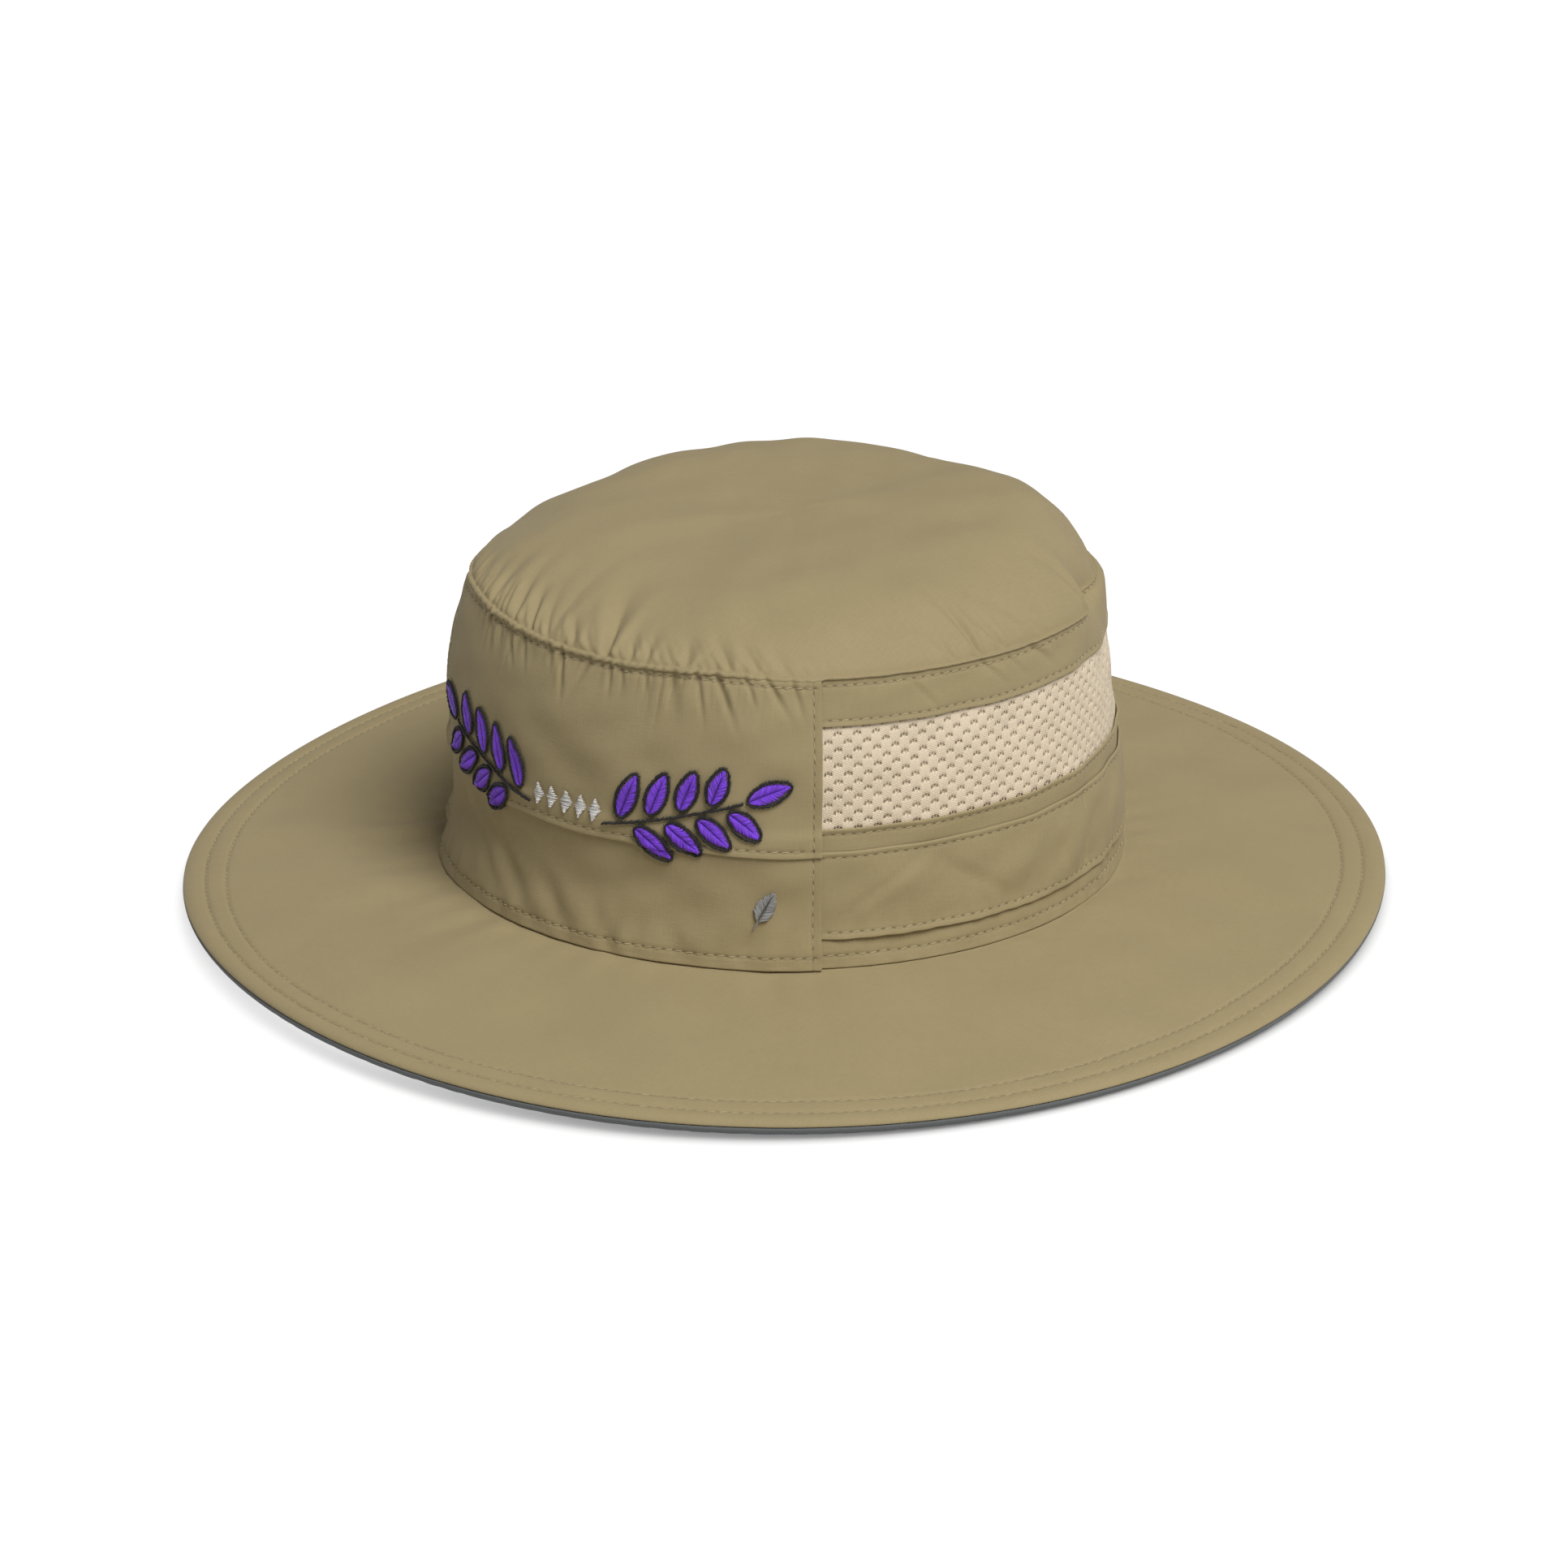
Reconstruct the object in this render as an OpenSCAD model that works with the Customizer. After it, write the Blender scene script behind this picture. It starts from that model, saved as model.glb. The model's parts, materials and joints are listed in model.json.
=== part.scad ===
// Boonie hat with a mesh vent, a cord-tunnel band and a foam-cored brim.
// Millimetres. +Z is up, the front of the hat faces -Y, the wearer's left is +X.
// Angles run round the hat from the front (0) towards the wearer's left (90).
// Each cloth is a thin shell, and plies lie ply_gap apart, as stitched layers do.

/* [Brim] */
// Front-to-back length of the brim
brim_l = 353; // [300:1:430]
// Side-to-side width of the brim
brim_w = 338; // [290:1:420]
// Thickness of the whole brim
brim_t = 4.2; // [3.4:0.1:6]
// Rise of the brim's middle above a straight line from crown to edge
brim_arch = 1.5; // [0:0.1:4]
// Height of the one-sided tilt of the brim edge
wave_tilt = 1.7; // [0:0.1:1.8]
// Height of the two-crest wave of the brim edge
wave_two = 0.7; // [0:0.1:0.8]
// Height of the three-crest wave of the brim edge
wave_three = 1.7; // [0:0.1:1.8]
// Height of the four-crest wave of the brim edge
wave_four = 0.7; // [0:0.1:0.8]
// Distance of the outer row of brim stitches from the edge
row_outer = 6.5; // [5:0.5:9]
// Distance of the inner row of brim stitches from the edge
row_inner = 12.5; // [10:0.5:20]

/* [Crown] */
// Front-to-back length of the crown where it meets the brim
crown_l = 205; // [180:1:235]
// Side-to-side width of the crown where it meets the brim
crown_w = 188; // [165:1:220]
// Distance of the crown's centre behind the brim's centre
crown_back = -0.5; // [-6:0.5:6]
// Height of the crown's lower fold above the floor, averaged round the hat
crown_z = 11.4; // [11:0.1:20]
// Extra height of that fold at the front, and its drop at the back
crown_tilt = 4.4; // [0:0.1:4.4]
// Height of the crown's side wall
wall_h = 78; // [70:1:100]
// Front-to-back length at the tip seam
tip_l = 187; // [165:1:205]
// Side-to-side width at the tip seam
tip_w = 166; // [145:1:188]
// Distance of the tip seam's centre behind the brim's centre
tip_back = 2.6; // [-6:0.2:8]
// Extra height of the tip seam at the front, and its drop at the back
tip_tilt = 7.2; // [0:0.2:9]
// Rise of the top's centre above its seam
dome_h = 21; // [10:0.5:34]
// Depth of the wall's waist above the brim
waist = 2.2; // [0:0.1:3]
// Swell of the wall below the tip seam
shoulder = 3; // [0:0.1:5]

/* [Panels] */
// Angle from the front to each front seam
seam_angle = 45; // [40:1:50]
// Angle that the side plies run on under the front panel
under_lap = 5; // [4:0.5:8]
// Height of the seam across the front panel
front_split = 31; // [28:0.5:32]
// Height of the mesh vent's lower edge
mesh_low = 38; // [37:0.5:44]
// Height of the yoke, from the mesh vent's upper edge to the tip seam
yoke_h = 12.4; // [12:0.2:20]
// Height of the cord band's lower fold
band_low = 8; // [7:0.5:12]
// Height of the cord band's upper fold
band_high = 32; // [26:0.5:33]
// Swell of the cord band over its tunnel
band_puff = 1.2; // [1:0.1:2]
// Height of the seam allowances inside the crown
allowance = 8; // [7:0.5:10]

/* [Plies] */
// Thickness of the woven cloth
cloth_t = 0.4; // [0.3:0.05:0.5]
// Thickness of the mesh
mesh_t = 0.6; // [0.4:0.05:0.8]
// Gap between neighbouring plies
ply_gap = 0.2; // [0.2:0.05:0.3]
// Thickness of the sweatband's foam
sweat_foam_t = 1.5; // [1:0.1:3]
// Height of the sweatband
sweat_h = 35; // [28:1:36]
// Thickness of the seam tape
tape_t = 0.35; // [0.3:0.05:0.5]
// Thickness of the blank labels
label_t = 0.3; // [0.3:0.05:0.5]
// Height that a row of thread stands above its cloth
thread_h = 0.35; // [0.3:0.05:0.6]
// Half the width of a row of thread
thread_r = 0.3; // [0.2:0.05:0.5]

/* [Embroidery] */
// Length of one stitched leaf
leaf_len = 13; // [9:0.5:14]
// Width of one stitched leaf
leaf_wid = 4.6; // [3:0.1:5]
// Distance between leaves along the sprig
leaf_step = 9; // [8.5:0.1:11]
// Number of leaf pairs on each sprig
leaf_pairs = 4; // [2:1:4]
// Height of the stitching above the cloth
stitch_h = 0.7; // [0.5:0.05:1]
// Number of diamonds in the row between the sprigs
seeds = 5; // [3:2:7]

/* [Cord eyelets] */
// Inner radius of each eyelet
eyelet_r = 2; // [1.5:0.1:2.4]
// Outer radius of each eyelet's flange
eyelet_flange = 4.4; // [4:0.1:6]
// Angle of each eyelet from the centre back
eyelet_angle = 8; // [6:0.5:12]
// Length of each eyelet's bore
eyelet_len = 2.2; // [1.8:0.1:3]

/* [Hidden] */
stations = 60;                      // vertices round the hat
mesh_high = wall_h - yoke_h;        // height of the mesh vent's upper edge
rise_step = wall_h / 11;            // vertices up the wall

khaki = [0.62, 0.57, 0.44];
cream = [0.84, 0.77, 0.66];
charcoal = [0.33, 0.37, 0.38];
thread_c = [0.55, 0.50, 0.37];

// Offsets from the wall's face, outwards positive. Side plies lie at 0.
side_in = -cloth_t;
hem_in = -2 * cloth_t;
mesh_out = side_in - ply_gap;
mesh_in = mesh_out - mesh_t;
flange_out = side_in - ply_gap;
flange_in = flange_out - cloth_t;
tape_out = mesh_in - ply_gap;
tape_in = tape_out - tape_t;
collar_out = hem_in - ply_gap;
collar_in = collar_out - cloth_t;
under_out = collar_in - ply_gap;
under_in = under_out - cloth_t;
sweat_out = min(under_in, tape_in) - ply_gap;
sweat_in = sweat_out - sweat_foam_t - 2 * cloth_t - 2 * ply_gap;
front_in = ply_gap;
front_out = front_in + cloth_t;
lap_out = front_out + ply_gap + cloth_t;
band_in = ply_gap;
band_out = band_in + cloth_t;
roll = 0.2;                         // how far a folded edge stands proud
front_rise = band_out + roll;       // lift of the front panel over the band's ends
split_lap = 5;                      // overlap of the two front panels
mesh_lap = 5;                       // overlap of the mesh under its neighbours
ridge = 1.1;                        // height of the tip seam's roll
thread_lift = 0.1;                  // gap under a row of thread
stitch_lift = 2.5 * thread_lift + thread_h;   // embroidery clears the rows it is sewn over
collar_mid = 4;                     // height where all the plies inside the crown's foot bend
side_from = seam_angle - under_lap;

// ---- master curves --------------------------------------------------------
function ramp(x) = min(1, max(0, x));
function spow(x, n) = sign(x) * pow(abs(x), n);

function base_z(t) = crown_z + crown_tilt * cos(t) + 0.4 * cos(2 * t);
function tip_z(t) = crown_z + wall_h + tip_tilt * cos(t) - cos(2 * t);
function waves(t) = wave_tilt * cos(t + 64) + wave_two * cos(2 * t - 20)
    + wave_three * cos(3 * t + 35) + wave_four * cos(4 * t - 200);
// The edge's height, set so that the lowest point under the brim rests on the floor
rest_v = 1 - 4 / ((brim_l - crown_l) / 2);
edge_low = min([for (k = [0 : stations - 1]) let (t = k * 360 / stations)
    (base_z(t) - brim_t - ply_gap) * (1 - rest_v) + waves(t) * rest_v + brim_arch * sin(180 * rest_v)]) / rest_v;
function edge_z(t) = waves(t) - edge_low;

function base_xyz(t) = [crown_w / 2 * sin(t), crown_back - crown_l / 2 * cos(t), base_z(t)];
function tip_xyz(t) = [tip_w / 2 * spow(sin(t), 0.92), tip_back - tip_l / 2 * spow(cos(t), 0.92), tip_z(t)];
function edge_xyz(t) = [brim_w / 2 * sin(t), -brim_l / 2 * cos(t), edge_z(t)];
brim_run = (brim_l - crown_l) / 2;  // nominal width of the brim

// Outward unit vector of the crown at angle t
function out_vec(t) = let (v = [sin(t) / crown_w, -cos(t) / crown_l, 0]) v / norm(v);

// Swell of the wall: a waist above the brim and a shoulder below the tip seam,
// both strongest at the front left of the wearer's right hand
function swell(u, t) = let (k = 0.5 + 0.5 * cos(t + 53))
    -waist * (0.3 + 0.7 * k) * pow(sin(180 * ramp(u / 0.45)), 2)
    + shoulder * (0.15 + 0.85 * k) * sin(180 * pow(ramp((u - 0.35) / 0.65), 1.3));

// Lift of the front panel towards its lapped edges
function rise(t) = let (d = abs(t > 180 ? t - 360 : t)) front_rise * ramp((d - seam_angle + 21) / 12);
// Swell of the cord band: none at its stitched ends
function puff(t) = let (d = abs(t > 180 ? t - 360 : t)) ramp((d - side_from) / 20);
function band_swell(s) = band_puff * sin(180 * ramp((s - band_low) / (band_high - band_low)));

// A point of a section: [kind, a, b], placed at angle t.
// WALL a: height up the wall, b: offset outwards.  FRONT: the same, on the front panel.
// BAND: the same, on the cord band.  BRIM a: distance out from the crown, b: height
// above the brim's underside.  DOME a: share of the radius, b: offset off the cloth.
WALL = 0; FRONT = 1; BAND = 2; BRIM = 3; DOME = 4;

function on_wall(s, o, t) = let (u = s / wall_h)
    base_xyz(t) * (1 - u) + tip_xyz(t) * u + out_vec(t) * (swell(u, t) + o);
function on_brim(a, h, t) = let (v = a / brim_run, p = base_xyz(t) * (1 - v) + edge_xyz(t) * v)
    p + [0, 0, (v - 1) * (brim_t + ply_gap) + brim_arch * sin(180 * ramp(v)) + h];
dome_pow = 5.5;                     // flatness of the top
dome_lean = -0.4;                   // the top's fullest part lies behind the middle
function on_dome(q, o, t) = let (
    rim = on_wall(wall_h + ridge, front_out + 0.1, t),
    mid = [0, tip_back, crown_z + wall_h + ridge],
    arm = [rim[0], rim[1] - tip_back, 0] * q,
    slope = atan(dome_h * dome_pow * pow(q, dome_pow - 1) / (tip_l / 4 + tip_w / 4)),
    lift = dome_h * (1 - pow(q, dome_pow)) * (1 + dome_lean * q * cos(t)))
    [0, tip_back, rim[2] * q + mid[2] * (1 - q) + lift + o * cos(slope)]
    + arm + (q > 0 ? arm / norm(arm) * o * sin(slope) : [0, 0, 0]);

function place(p, t) =
    p[0] == WALL ? on_wall(p[1], p[2], t) :
    p[0] == FRONT ? on_wall(p[1], p[2] + rise(t), t) :
    p[0] == BAND ? on_wall(p[1], p[2] + puff(t) * band_swell(p[1]), t) :
    p[0] == BRIM ? on_brim(p[1], p[2], t) : on_dome(p[1], p[2], t);

// ---- sweeping -------------------------------------------------------------
// Angles from a to b: both ends and the common stations between them
step = 360 / stations;
function arc(a, b) = concat([a], [for (k = [ceil(a / step) : floor(b / step)])
    if (k * step > a + 0.5 && k * step < b - 0.5) k * step], [b]);
ring = [for (k = [0 : stations - 1]) k * step];

// Heights from a to b at a fixed offset, with the common stations between them
function heights(a, b) = concat([a], [for (k = [ceil(a / rise_step) : floor(b / rise_step)])
    if (k * rise_step > a + 0.8 && k * rise_step < b - 0.8) k * rise_step], [b]);
function run(kind, a, b, o) = [for (s = heights(min(a, b), max(a, b))) [kind, a < b ? s : a + b - s, o]];
// The same from the top down, on the same heights
function run_down(kind, a, b, o) = let (h = heights(a, b), n = len(h)) [for (i = [n - 1 : -1 : 0]) [kind, h[i], o]];
BRIM_AT = [18, 37, 56];
function brim_out(h) = [for (a = BRIM_AT) [BRIM, a * brim_run / 74, h]];
function brim_back(h) = [for (i = [2 : -1 : 0]) [BRIM, BRIM_AT[i] * brim_run / 74, h]];

// Faces turned to look outwards: a section may run either way round
function turned(faces, section) = let (q = [for (p = section) place(p, 0)], n = len(q),
    area = [for (i = [0 : n - 1]) let (a = q[i], b = q[(i + 1) % n]) a[1] * b[2] - b[1] * a[2]] * [for (i = [1 : n]) 1])
    area < 0 ? [for (f = faces) [f[0], f[2], f[1]]] : faces;

// Two triangles of the quad between section points i, i+1 and stations k, m
function quad(n, k, m, i, j) = [[k * n + i, m * n + i, m * n + j], [k * n + i, m * n + j, k * n + j]];

// A closed ring whose section is any closed outline
module swept_ring(section) {
    n = len(section); m = len(ring);
    polyhedron(
        points = [for (t = ring, p = section) place(p, t)],
        faces = turned([for (k = [0 : m - 1], i = [0 : n - 1], f = quad(n, k, (k + 1) % m, i, (i + 1) % n)) f], section));
}

// A strip between two angles: near and far are matching lists of section points
module swept_strip(near, far, angles) {
    h = len(near); n = 2 * h; m = len(angles);
    section = concat(near, [for (i = [h - 1 : -1 : 0]) far[i]]);
    sides = [for (k = [0 : m - 2], i = [0 : n - 1], f = quad(n, k, k + 1, i, (i + 1) % n)) f];
    first = [for (i = [0 : h - 2], f = [[i, i + 1, n - 2 - i], [i, n - 2 - i, n - 1 - i]]) f];
    last = [for (f = first) [for (j = [2 : -1 : 0]) f[j] + (m - 1) * n]];
    polyhedron(points = [for (t = angles, p = section) place(p, t)], faces = turned(concat(sides, first, last), section));
}

// A shell closed at the dome's centre: outer runs from the centre to the hem, inner back
module swept_cap(outer, inner, top, bottom) {
    section = concat(outer, inner); n = len(section); m = len(ring);
    polyhedron(
        points = concat([for (t = ring, p = section) place(p, t)], [place(top, 0), place(bottom, 0)]),
        faces = turned(concat(
            [for (k = [0 : m - 1], i = [0 : n - 2], f = quad(n, k, (k + 1) % m, i, i + 1)) f],
            [for (k = [0 : m - 1], f = [[m * n, ((k + 1) % m) * n, k * n],
                [m * n + 1, k * n + n - 1, ((k + 1) % m) * n + n - 1]]) f]), section));
}

// A raised line of stitching: path holds [height, angle, half width], face(s, t) is
// the offset of the cloth under it. Its section is a low ridge.
function arc_deg(d, t) = d / norm([crown_w / 2 * cos(t), crown_l / 2 * sin(t)]) * 180 / PI;
function bead_pts(path, tall, lift) = [for (i = [0 : len(path) - 1])
    let (p = path[i], a = path[max(0, i - 1)], b = path[min(len(path) - 1, i + 1)],
        k = arc_deg(1, p[1]), d = [b[0] - a[0], (b[1] - a[1]) / k], e = d / norm(d),
        w = p[2], o = cloth_face(p[0], p[1]) + lift)
    for (q = [[-1, 0], [1, 0], [0, 1]])
        let (s = p[0] - q[0] * w * e[1], t = p[1] + q[0] * w * e[0] * k)
        on_wall(s, q[1] == 0 ? max(o, cloth_face(s, t) + lift) : o + tall * min(1, w / 0.25), t)];
function bead_faces(m) = concat(
    [for (k = [0 : m - 2], i = [0 : 2], f = quad(3, k, k + 1, (i + 1) % 3, i)) f],
    [[0, 2, 1], [(m - 1) * 3 + 1, (m - 1) * 3 + 2, (m - 1) * 3]]);
module beads(paths, tall = thread_h, lift = thread_lift) {
    groups = [for (p = paths) bead_pts(p, tall, lift)];
    starts = [for (i = 0, s = 0; i < len(groups); s = s + len(groups[i]), i = i + 1) s];
    polyhedron(
        points = [for (g = groups, p = g) p],
        faces = [for (i = [0 : len(groups) - 1], f = bead_faces(len(groups[i]) / 3)) f + [1, 1, 1] * starts[i]]);
}

// Offset of the outermost cloth at height s and angle t
function split_face(s) = lookup(s, [[0, front_out], [front_split - 0.01, front_out], [front_split, lap_out],
    [front_split + split_lap, lap_out], [front_split + split_lap + 3, front_out], [wall_h, front_out]]);
function cloth_face(s, t) = abs(t) <= seam_angle + 0.01 ? split_face(s) + rise(t)
    : s > band_low && s < band_high ? band_out + roll + puff(t) * band_swell(s)
    : s > mesh_low && s < mesh_high ? mesh_out : roll / 2;

// ---- crown ----------------------------------------------------------------
module crown_tip() {
    rings = [0.3, 0.55, 0.74, 0.86, 0.94, 0.985];
    hem = wall_h - allowance + 2.5;
    color(khaki) swept_cap(
        concat([for (q = rings) [DOME, q, 0]],
            [[DOME, 1, 0], [WALL, wall_h + 0.7, front_out + 0.35], [WALL, wall_h + 0.3, front_out + 0.2],
             [WALL, wall_h + 0.3, flange_out], [WALL, hem, flange_out]]),
        concat([[WALL, hem, flange_in], [WALL, wall_h + 0.1, flange_in]],
            [for (i = [len(rings) - 1 : -1 : 0]) [DOME, rings[i], -cloth_t]]),
        [DOME, 0, 0], [DOME, 0, -cloth_t]);
}
module crown_front_upper() {
    low = front_split; top = front_split + split_lap;
    color(khaki) swept_strip(
        concat([[FRONT, low, lap_out], [FRONT, top, lap_out]], run(FRONT, top + 3, wall_h, front_out)),
        concat([[FRONT, low, lap_out - cloth_t], [FRONT, top, lap_out - cloth_t]], run(FRONT, top + 3, wall_h, front_in)),
        arc(-seam_angle, seam_angle));
}
hem_s = band_low - 1;               // height of the folded hem round the crown's foot
module crown_front_lower() {
    up = heights(hem_s + 0.8, front_split + split_lap - 0.5);
    color(khaki) swept_strip(
        concat([[FRONT, 0, front_out], [FRONT, hem_s, front_out]], [for (s = up) [FRONT, s, front_out]]),
        concat([[FRONT, 0, front_in - cloth_t], [FRONT, hem_s, front_in - cloth_t]], [for (s = up) [FRONT, s, front_in]]),
        arc(-seam_angle, seam_angle));
}
side_arc = arc(side_from, 360 - side_from);
module crown_yoke() {
    up = heights(mesh_high + 2, wall_h);
    color(khaki) swept_strip(
        concat([[WALL, mesh_high, roll]], [for (s = up) [WALL, s, 0]]),
        concat([[WALL, mesh_high, side_in]], [for (s = up) [WALL, s, side_in]]), side_arc);
}
module crown_mesh() {
    color(cream) swept_strip(run(WALL, mesh_low - mesh_lap, mesh_high + mesh_lap, mesh_out),
        run(WALL, mesh_low - mesh_lap, mesh_high + mesh_lap, mesh_in), side_arc);
}
module crown_back_base() {
    up = heights(hem_s + 0.8, mesh_low - 2);
    color(khaki) swept_strip(
        concat([[WALL, 0, 0], [WALL, hem_s, 0]], [for (s = up) [WALL, s, 0]], [[WALL, mesh_low, roll]]),
        concat([[WALL, 0, hem_in], [WALL, hem_s, hem_in]], [for (s = up) [WALL, s, side_in]], [[WALL, mesh_low, side_in]]),
        side_arc);
}
band_cut = 0.1;                     // clearance of the band's holes round the eyelets
module cord_tunnel_band() {
    mid = heights(band_low + 2, band_high - 2);
    color(khaki) difference() {
        swept_strip(
            concat([[BAND, band_low, band_out + roll / 2]], [for (s = mid) [BAND, s, band_out]], [[BAND, band_high, band_out + roll / 2]]),
            concat([[BAND, band_low, band_in]], [for (s = mid) [BAND, s, band_in]], [[BAND, band_high, band_in]]), side_arc);
        for (side = [-1, 1]) at_eyelet(side) translate([0, 0, -3]) cylinder(r = barrel_r + band_cut, h = 9, $fn = 32);
    }
}
module tip_seam_tape() {
    color("dimgray") swept_ring([[WALL, wall_h - 8, tape_out], [WALL, wall_h - 1, tape_out],
        [WALL, wall_h - 1, tape_in], [WALL, wall_h - 8, tape_in]]);
}
module front_seam_tape(side) {
    span = side > 0 ? arc(side_from - 3, seam_angle + 2) : arc(-seam_angle - 2, -side_from + 3);
    color("dimgray") swept_strip(run(WALL, allowance + 1.5, wall_h - 8.5, tape_out),
        run(WALL, allowance + 1.5, wall_h - 8.5, tape_in), span);
}
module front_seam_tape_left() { front_seam_tape(1); }
module front_seam_tape_right() { front_seam_tape(-1); }

// ---- brim -----------------------------------------------------------------
edge_seam = 2.8;                    // height of the seam line round the brim's edge
module brim_top_cloth() {
    h = brim_t; g = brim_t - cloth_t; e = brim_run;
    color(khaki) swept_ring(concat(
        [[WALL, allowance, collar_out], [WALL, collar_mid, collar_out], [WALL, -ply_gap, collar_out], [BRIM, 1.5, h]], brim_out(h),
        [[BRIM, e - 4, h], [BRIM, e - 1.4, h - 0.3], [BRIM, e - 0.3, edge_seam + 0.55], [BRIM, e - 0.1, edge_seam + 0.1],
         [BRIM, e - 0.9, edge_seam + 0.1], [BRIM, e - 1.8, g - 0.35], [BRIM, e - 4, g]], brim_back(g),
        [[BRIM, 1.5, g], [WALL, -ply_gap - cloth_t, collar_in], [WALL, collar_mid, collar_in], [WALL, allowance, collar_in]]));
}
module brim_core() {
    a = cloth_t + ply_gap; b = brim_t - cloth_t - ply_gap; e = brim_run;
    color([0.85, 0.85, 0.82]) swept_ring(concat([[BRIM, 0.5, a]], brim_out(a),
        [[BRIM, e - 5, a], [BRIM, e - 2.8, a + 0.7], [BRIM, e - 2.8, edge_seam - 0.4], [BRIM, e - 4.5, b]],
        brim_back(b), [[BRIM, 0.5, b]]));
}
module brim_under_cloth() {
    e = brim_run; c = cloth_t;
    color(charcoal) swept_ring(concat(
        [[WALL, allowance - 1, under_in], [WALL, collar_mid, under_in], [WALL, 0, under_in], [BRIM, under_in, 0]], brim_out(0),
        [[BRIM, e - 4, 0], [BRIM, e - 1.2, 0.35], [BRIM, e - 0.1, 1.2], [BRIM, e, edge_seam - 0.2],
         [BRIM, e - 0.8, edge_seam - 0.2], [BRIM, e - 1.3, 1.2], [BRIM, e - 2, 0.35 + c], [BRIM, e - 4, c]],
        brim_back(c), [[BRIM, under_out, c], [WALL, 0, under_out], [WALL, collar_mid, under_out], [WALL, allowance - 1, under_out]]));
}

// ---- sweatband ------------------------------------------------------------
sweat_low = -1;                     // the sweatband starts just below the crown's fold
sweat_top = sweat_low + sweat_h;
SWEAT_AT = [8, 22];
module sweatband_cover() {
    o = sweat_out; i = sweat_in; c = cloth_t; lo = sweat_low; hi = sweat_top; fold = collar_mid - lo;
    color(charcoal) swept_ring(concat(
        [[WALL, hi - fold, o], [WALL, hi, o], [WALL, hi, i]], [for (k = [1 : -1 : 0]) [WALL, SWEAT_AT[k], i]],
        [[WALL, lo, i], [WALL, lo, o], [WALL, collar_mid, o], [WALL, collar_mid, o - c], [WALL, lo + c, o - c], [WALL, lo + c, i + c]],
        [for (s = SWEAT_AT) [WALL, s, i + c]],
        [[WALL, hi - c, i + c], [WALL, hi - c, o - c], [WALL, hi - fold, o - c]]));
}
module sweatband_foam() {
    a = sweat_low + cloth_t + ply_gap; b = sweat_top - cloth_t - ply_gap;
    o = sweat_out - cloth_t - ply_gap; i = o - sweat_foam_t;
    color([0.9, 0.9, 0.86]) swept_ring(concat([[WALL, a, o], [WALL, collar_mid, o]], [for (s = SWEAT_AT) [WALL, s, o]], [[WALL, b, o], [WALL, b, i]],
        [for (k = [1 : -1 : 0]) [WALL, SWEAT_AT[k], i]], [[WALL, a, i]]));
}
label_out = sweat_in - 1.5 * ply_gap;
module blank_label(from, to, low, high) {
    list = concat([low], [for (s = SWEAT_AT) if (s > low && s < high) s], [high]);
    swept_strip([for (s = list) [WALL, s, label_out]], [for (s = list) [WALL, s, label_out - label_t]], arc(from, to));
}
module size_label() { color("white") blank_label(174, 186, 3, 15); }
module care_label() { color("white") blank_label(206, 222, 1, 32); }

// ---- eyelets --------------------------------------------------------------
barrel_r = eyelet_r + 0.5;
eyelet_s = (band_low + band_high) / 2;
flange_t = 0.3;
inner_flange = eyelet_flange - 0.6;
// The inner flange lies in the tunnel, deeper the wider it is, because the band falls away from its middle
eyelet_o = band_in + band_puff * (1 - inner_flange * inner_flange / 72.2) - ply_gap - flange_t;
module at_eyelet(side) {
    t = 180 + side * eyelet_angle; v = out_vec(t);
    translate(on_wall(eyelet_s, eyelet_o, t)) rotate([0, 90, atan2(v[1], v[0])]) children();
}
module cord_eyelets() {
    f = eyelet_flange; r = eyelet_r; b = barrel_r; n = eyelet_len; up = band_out + band_puff + ply_gap / 2 - eyelet_o;
    color([0.45, 0.44, 0.42]) for (side = [-1, 1]) at_eyelet(side)
        rotate_extrude($fn = 48) polygon([[r, 0], [inner_flange, 0], [inner_flange, flange_t], [b, flange_t], [b, up],
            [f, up], [f, up + flange_t], [f - 0.9, n], [r + 0.2, n + 0.2], [r, n]]);
}

// ---- threads --------------------------------------------------------------
// A row of thread round the brim, a from the crown, or round the wall at height s
module brim_row(a) {
    h = brim_t + 0.06; r = thread_r;
    color(thread_c) swept_ring([[BRIM, a - r, h], [BRIM, a + r, h], [BRIM, a, h + thread_h]]);
}
module brim_outer_thread() { brim_row(brim_run - row_outer); }
module brim_inner_thread() { brim_row(brim_run - row_inner); }
// A row that follows the cloth from angle a to b at height s
function row(s, a, b) = [for (t = arc(a, b)) [s, t, thread_r]];
// A row up the wall at angle t
function column(t, a, b) = let (k = front_split)
    [for (s = abs(t) < seam_angle ? concat(heights(a, k - 0.6), heights(k, k + split_lap), heights(k + split_lap + 3, b)) : heights(a, b)) [s, t, thread_r]];
side_row_from = seam_angle + 0.6;
module base_seam_thread() { color(thread_c) beads([row(3.5, -seam_angle + 1, seam_angle - 1), row(3.5, side_row_from, 360 - side_row_from)]); }
module tip_seam_thread() { color(thread_c) beads([row(wall_h - 1.8, -seam_angle + 1, seam_angle - 1), row(wall_h - 1.8, side_row_from, 360 - side_row_from)]); }
module front_seam_thread() { color(thread_c) beads([for (side = [-1, 1]) column(side * (seam_angle - 1.4), 5, wall_h - 3.5)]); }
module front_split_thread() { color(thread_c) beads([row(front_split + 2, -seam_angle + 3, seam_angle - 3)]); }
module yoke_thread() { color(thread_c) beads([row(mesh_high + 1.6, side_row_from, 360 - side_row_from)]); }
module mesh_lower_thread() { color(thread_c) beads([row(mesh_low - 1.6, side_row_from, 360 - side_row_from)]); }
module band_top_thread() { color(thread_c) beads([row(band_high - 1.6, side_row_from, 360 - side_row_from)]); }
module band_bottom_thread() { color(thread_c) beads([row(band_low + 1.8, side_row_from, 360 - side_row_from)]); }
tack_angle = 100;
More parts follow.
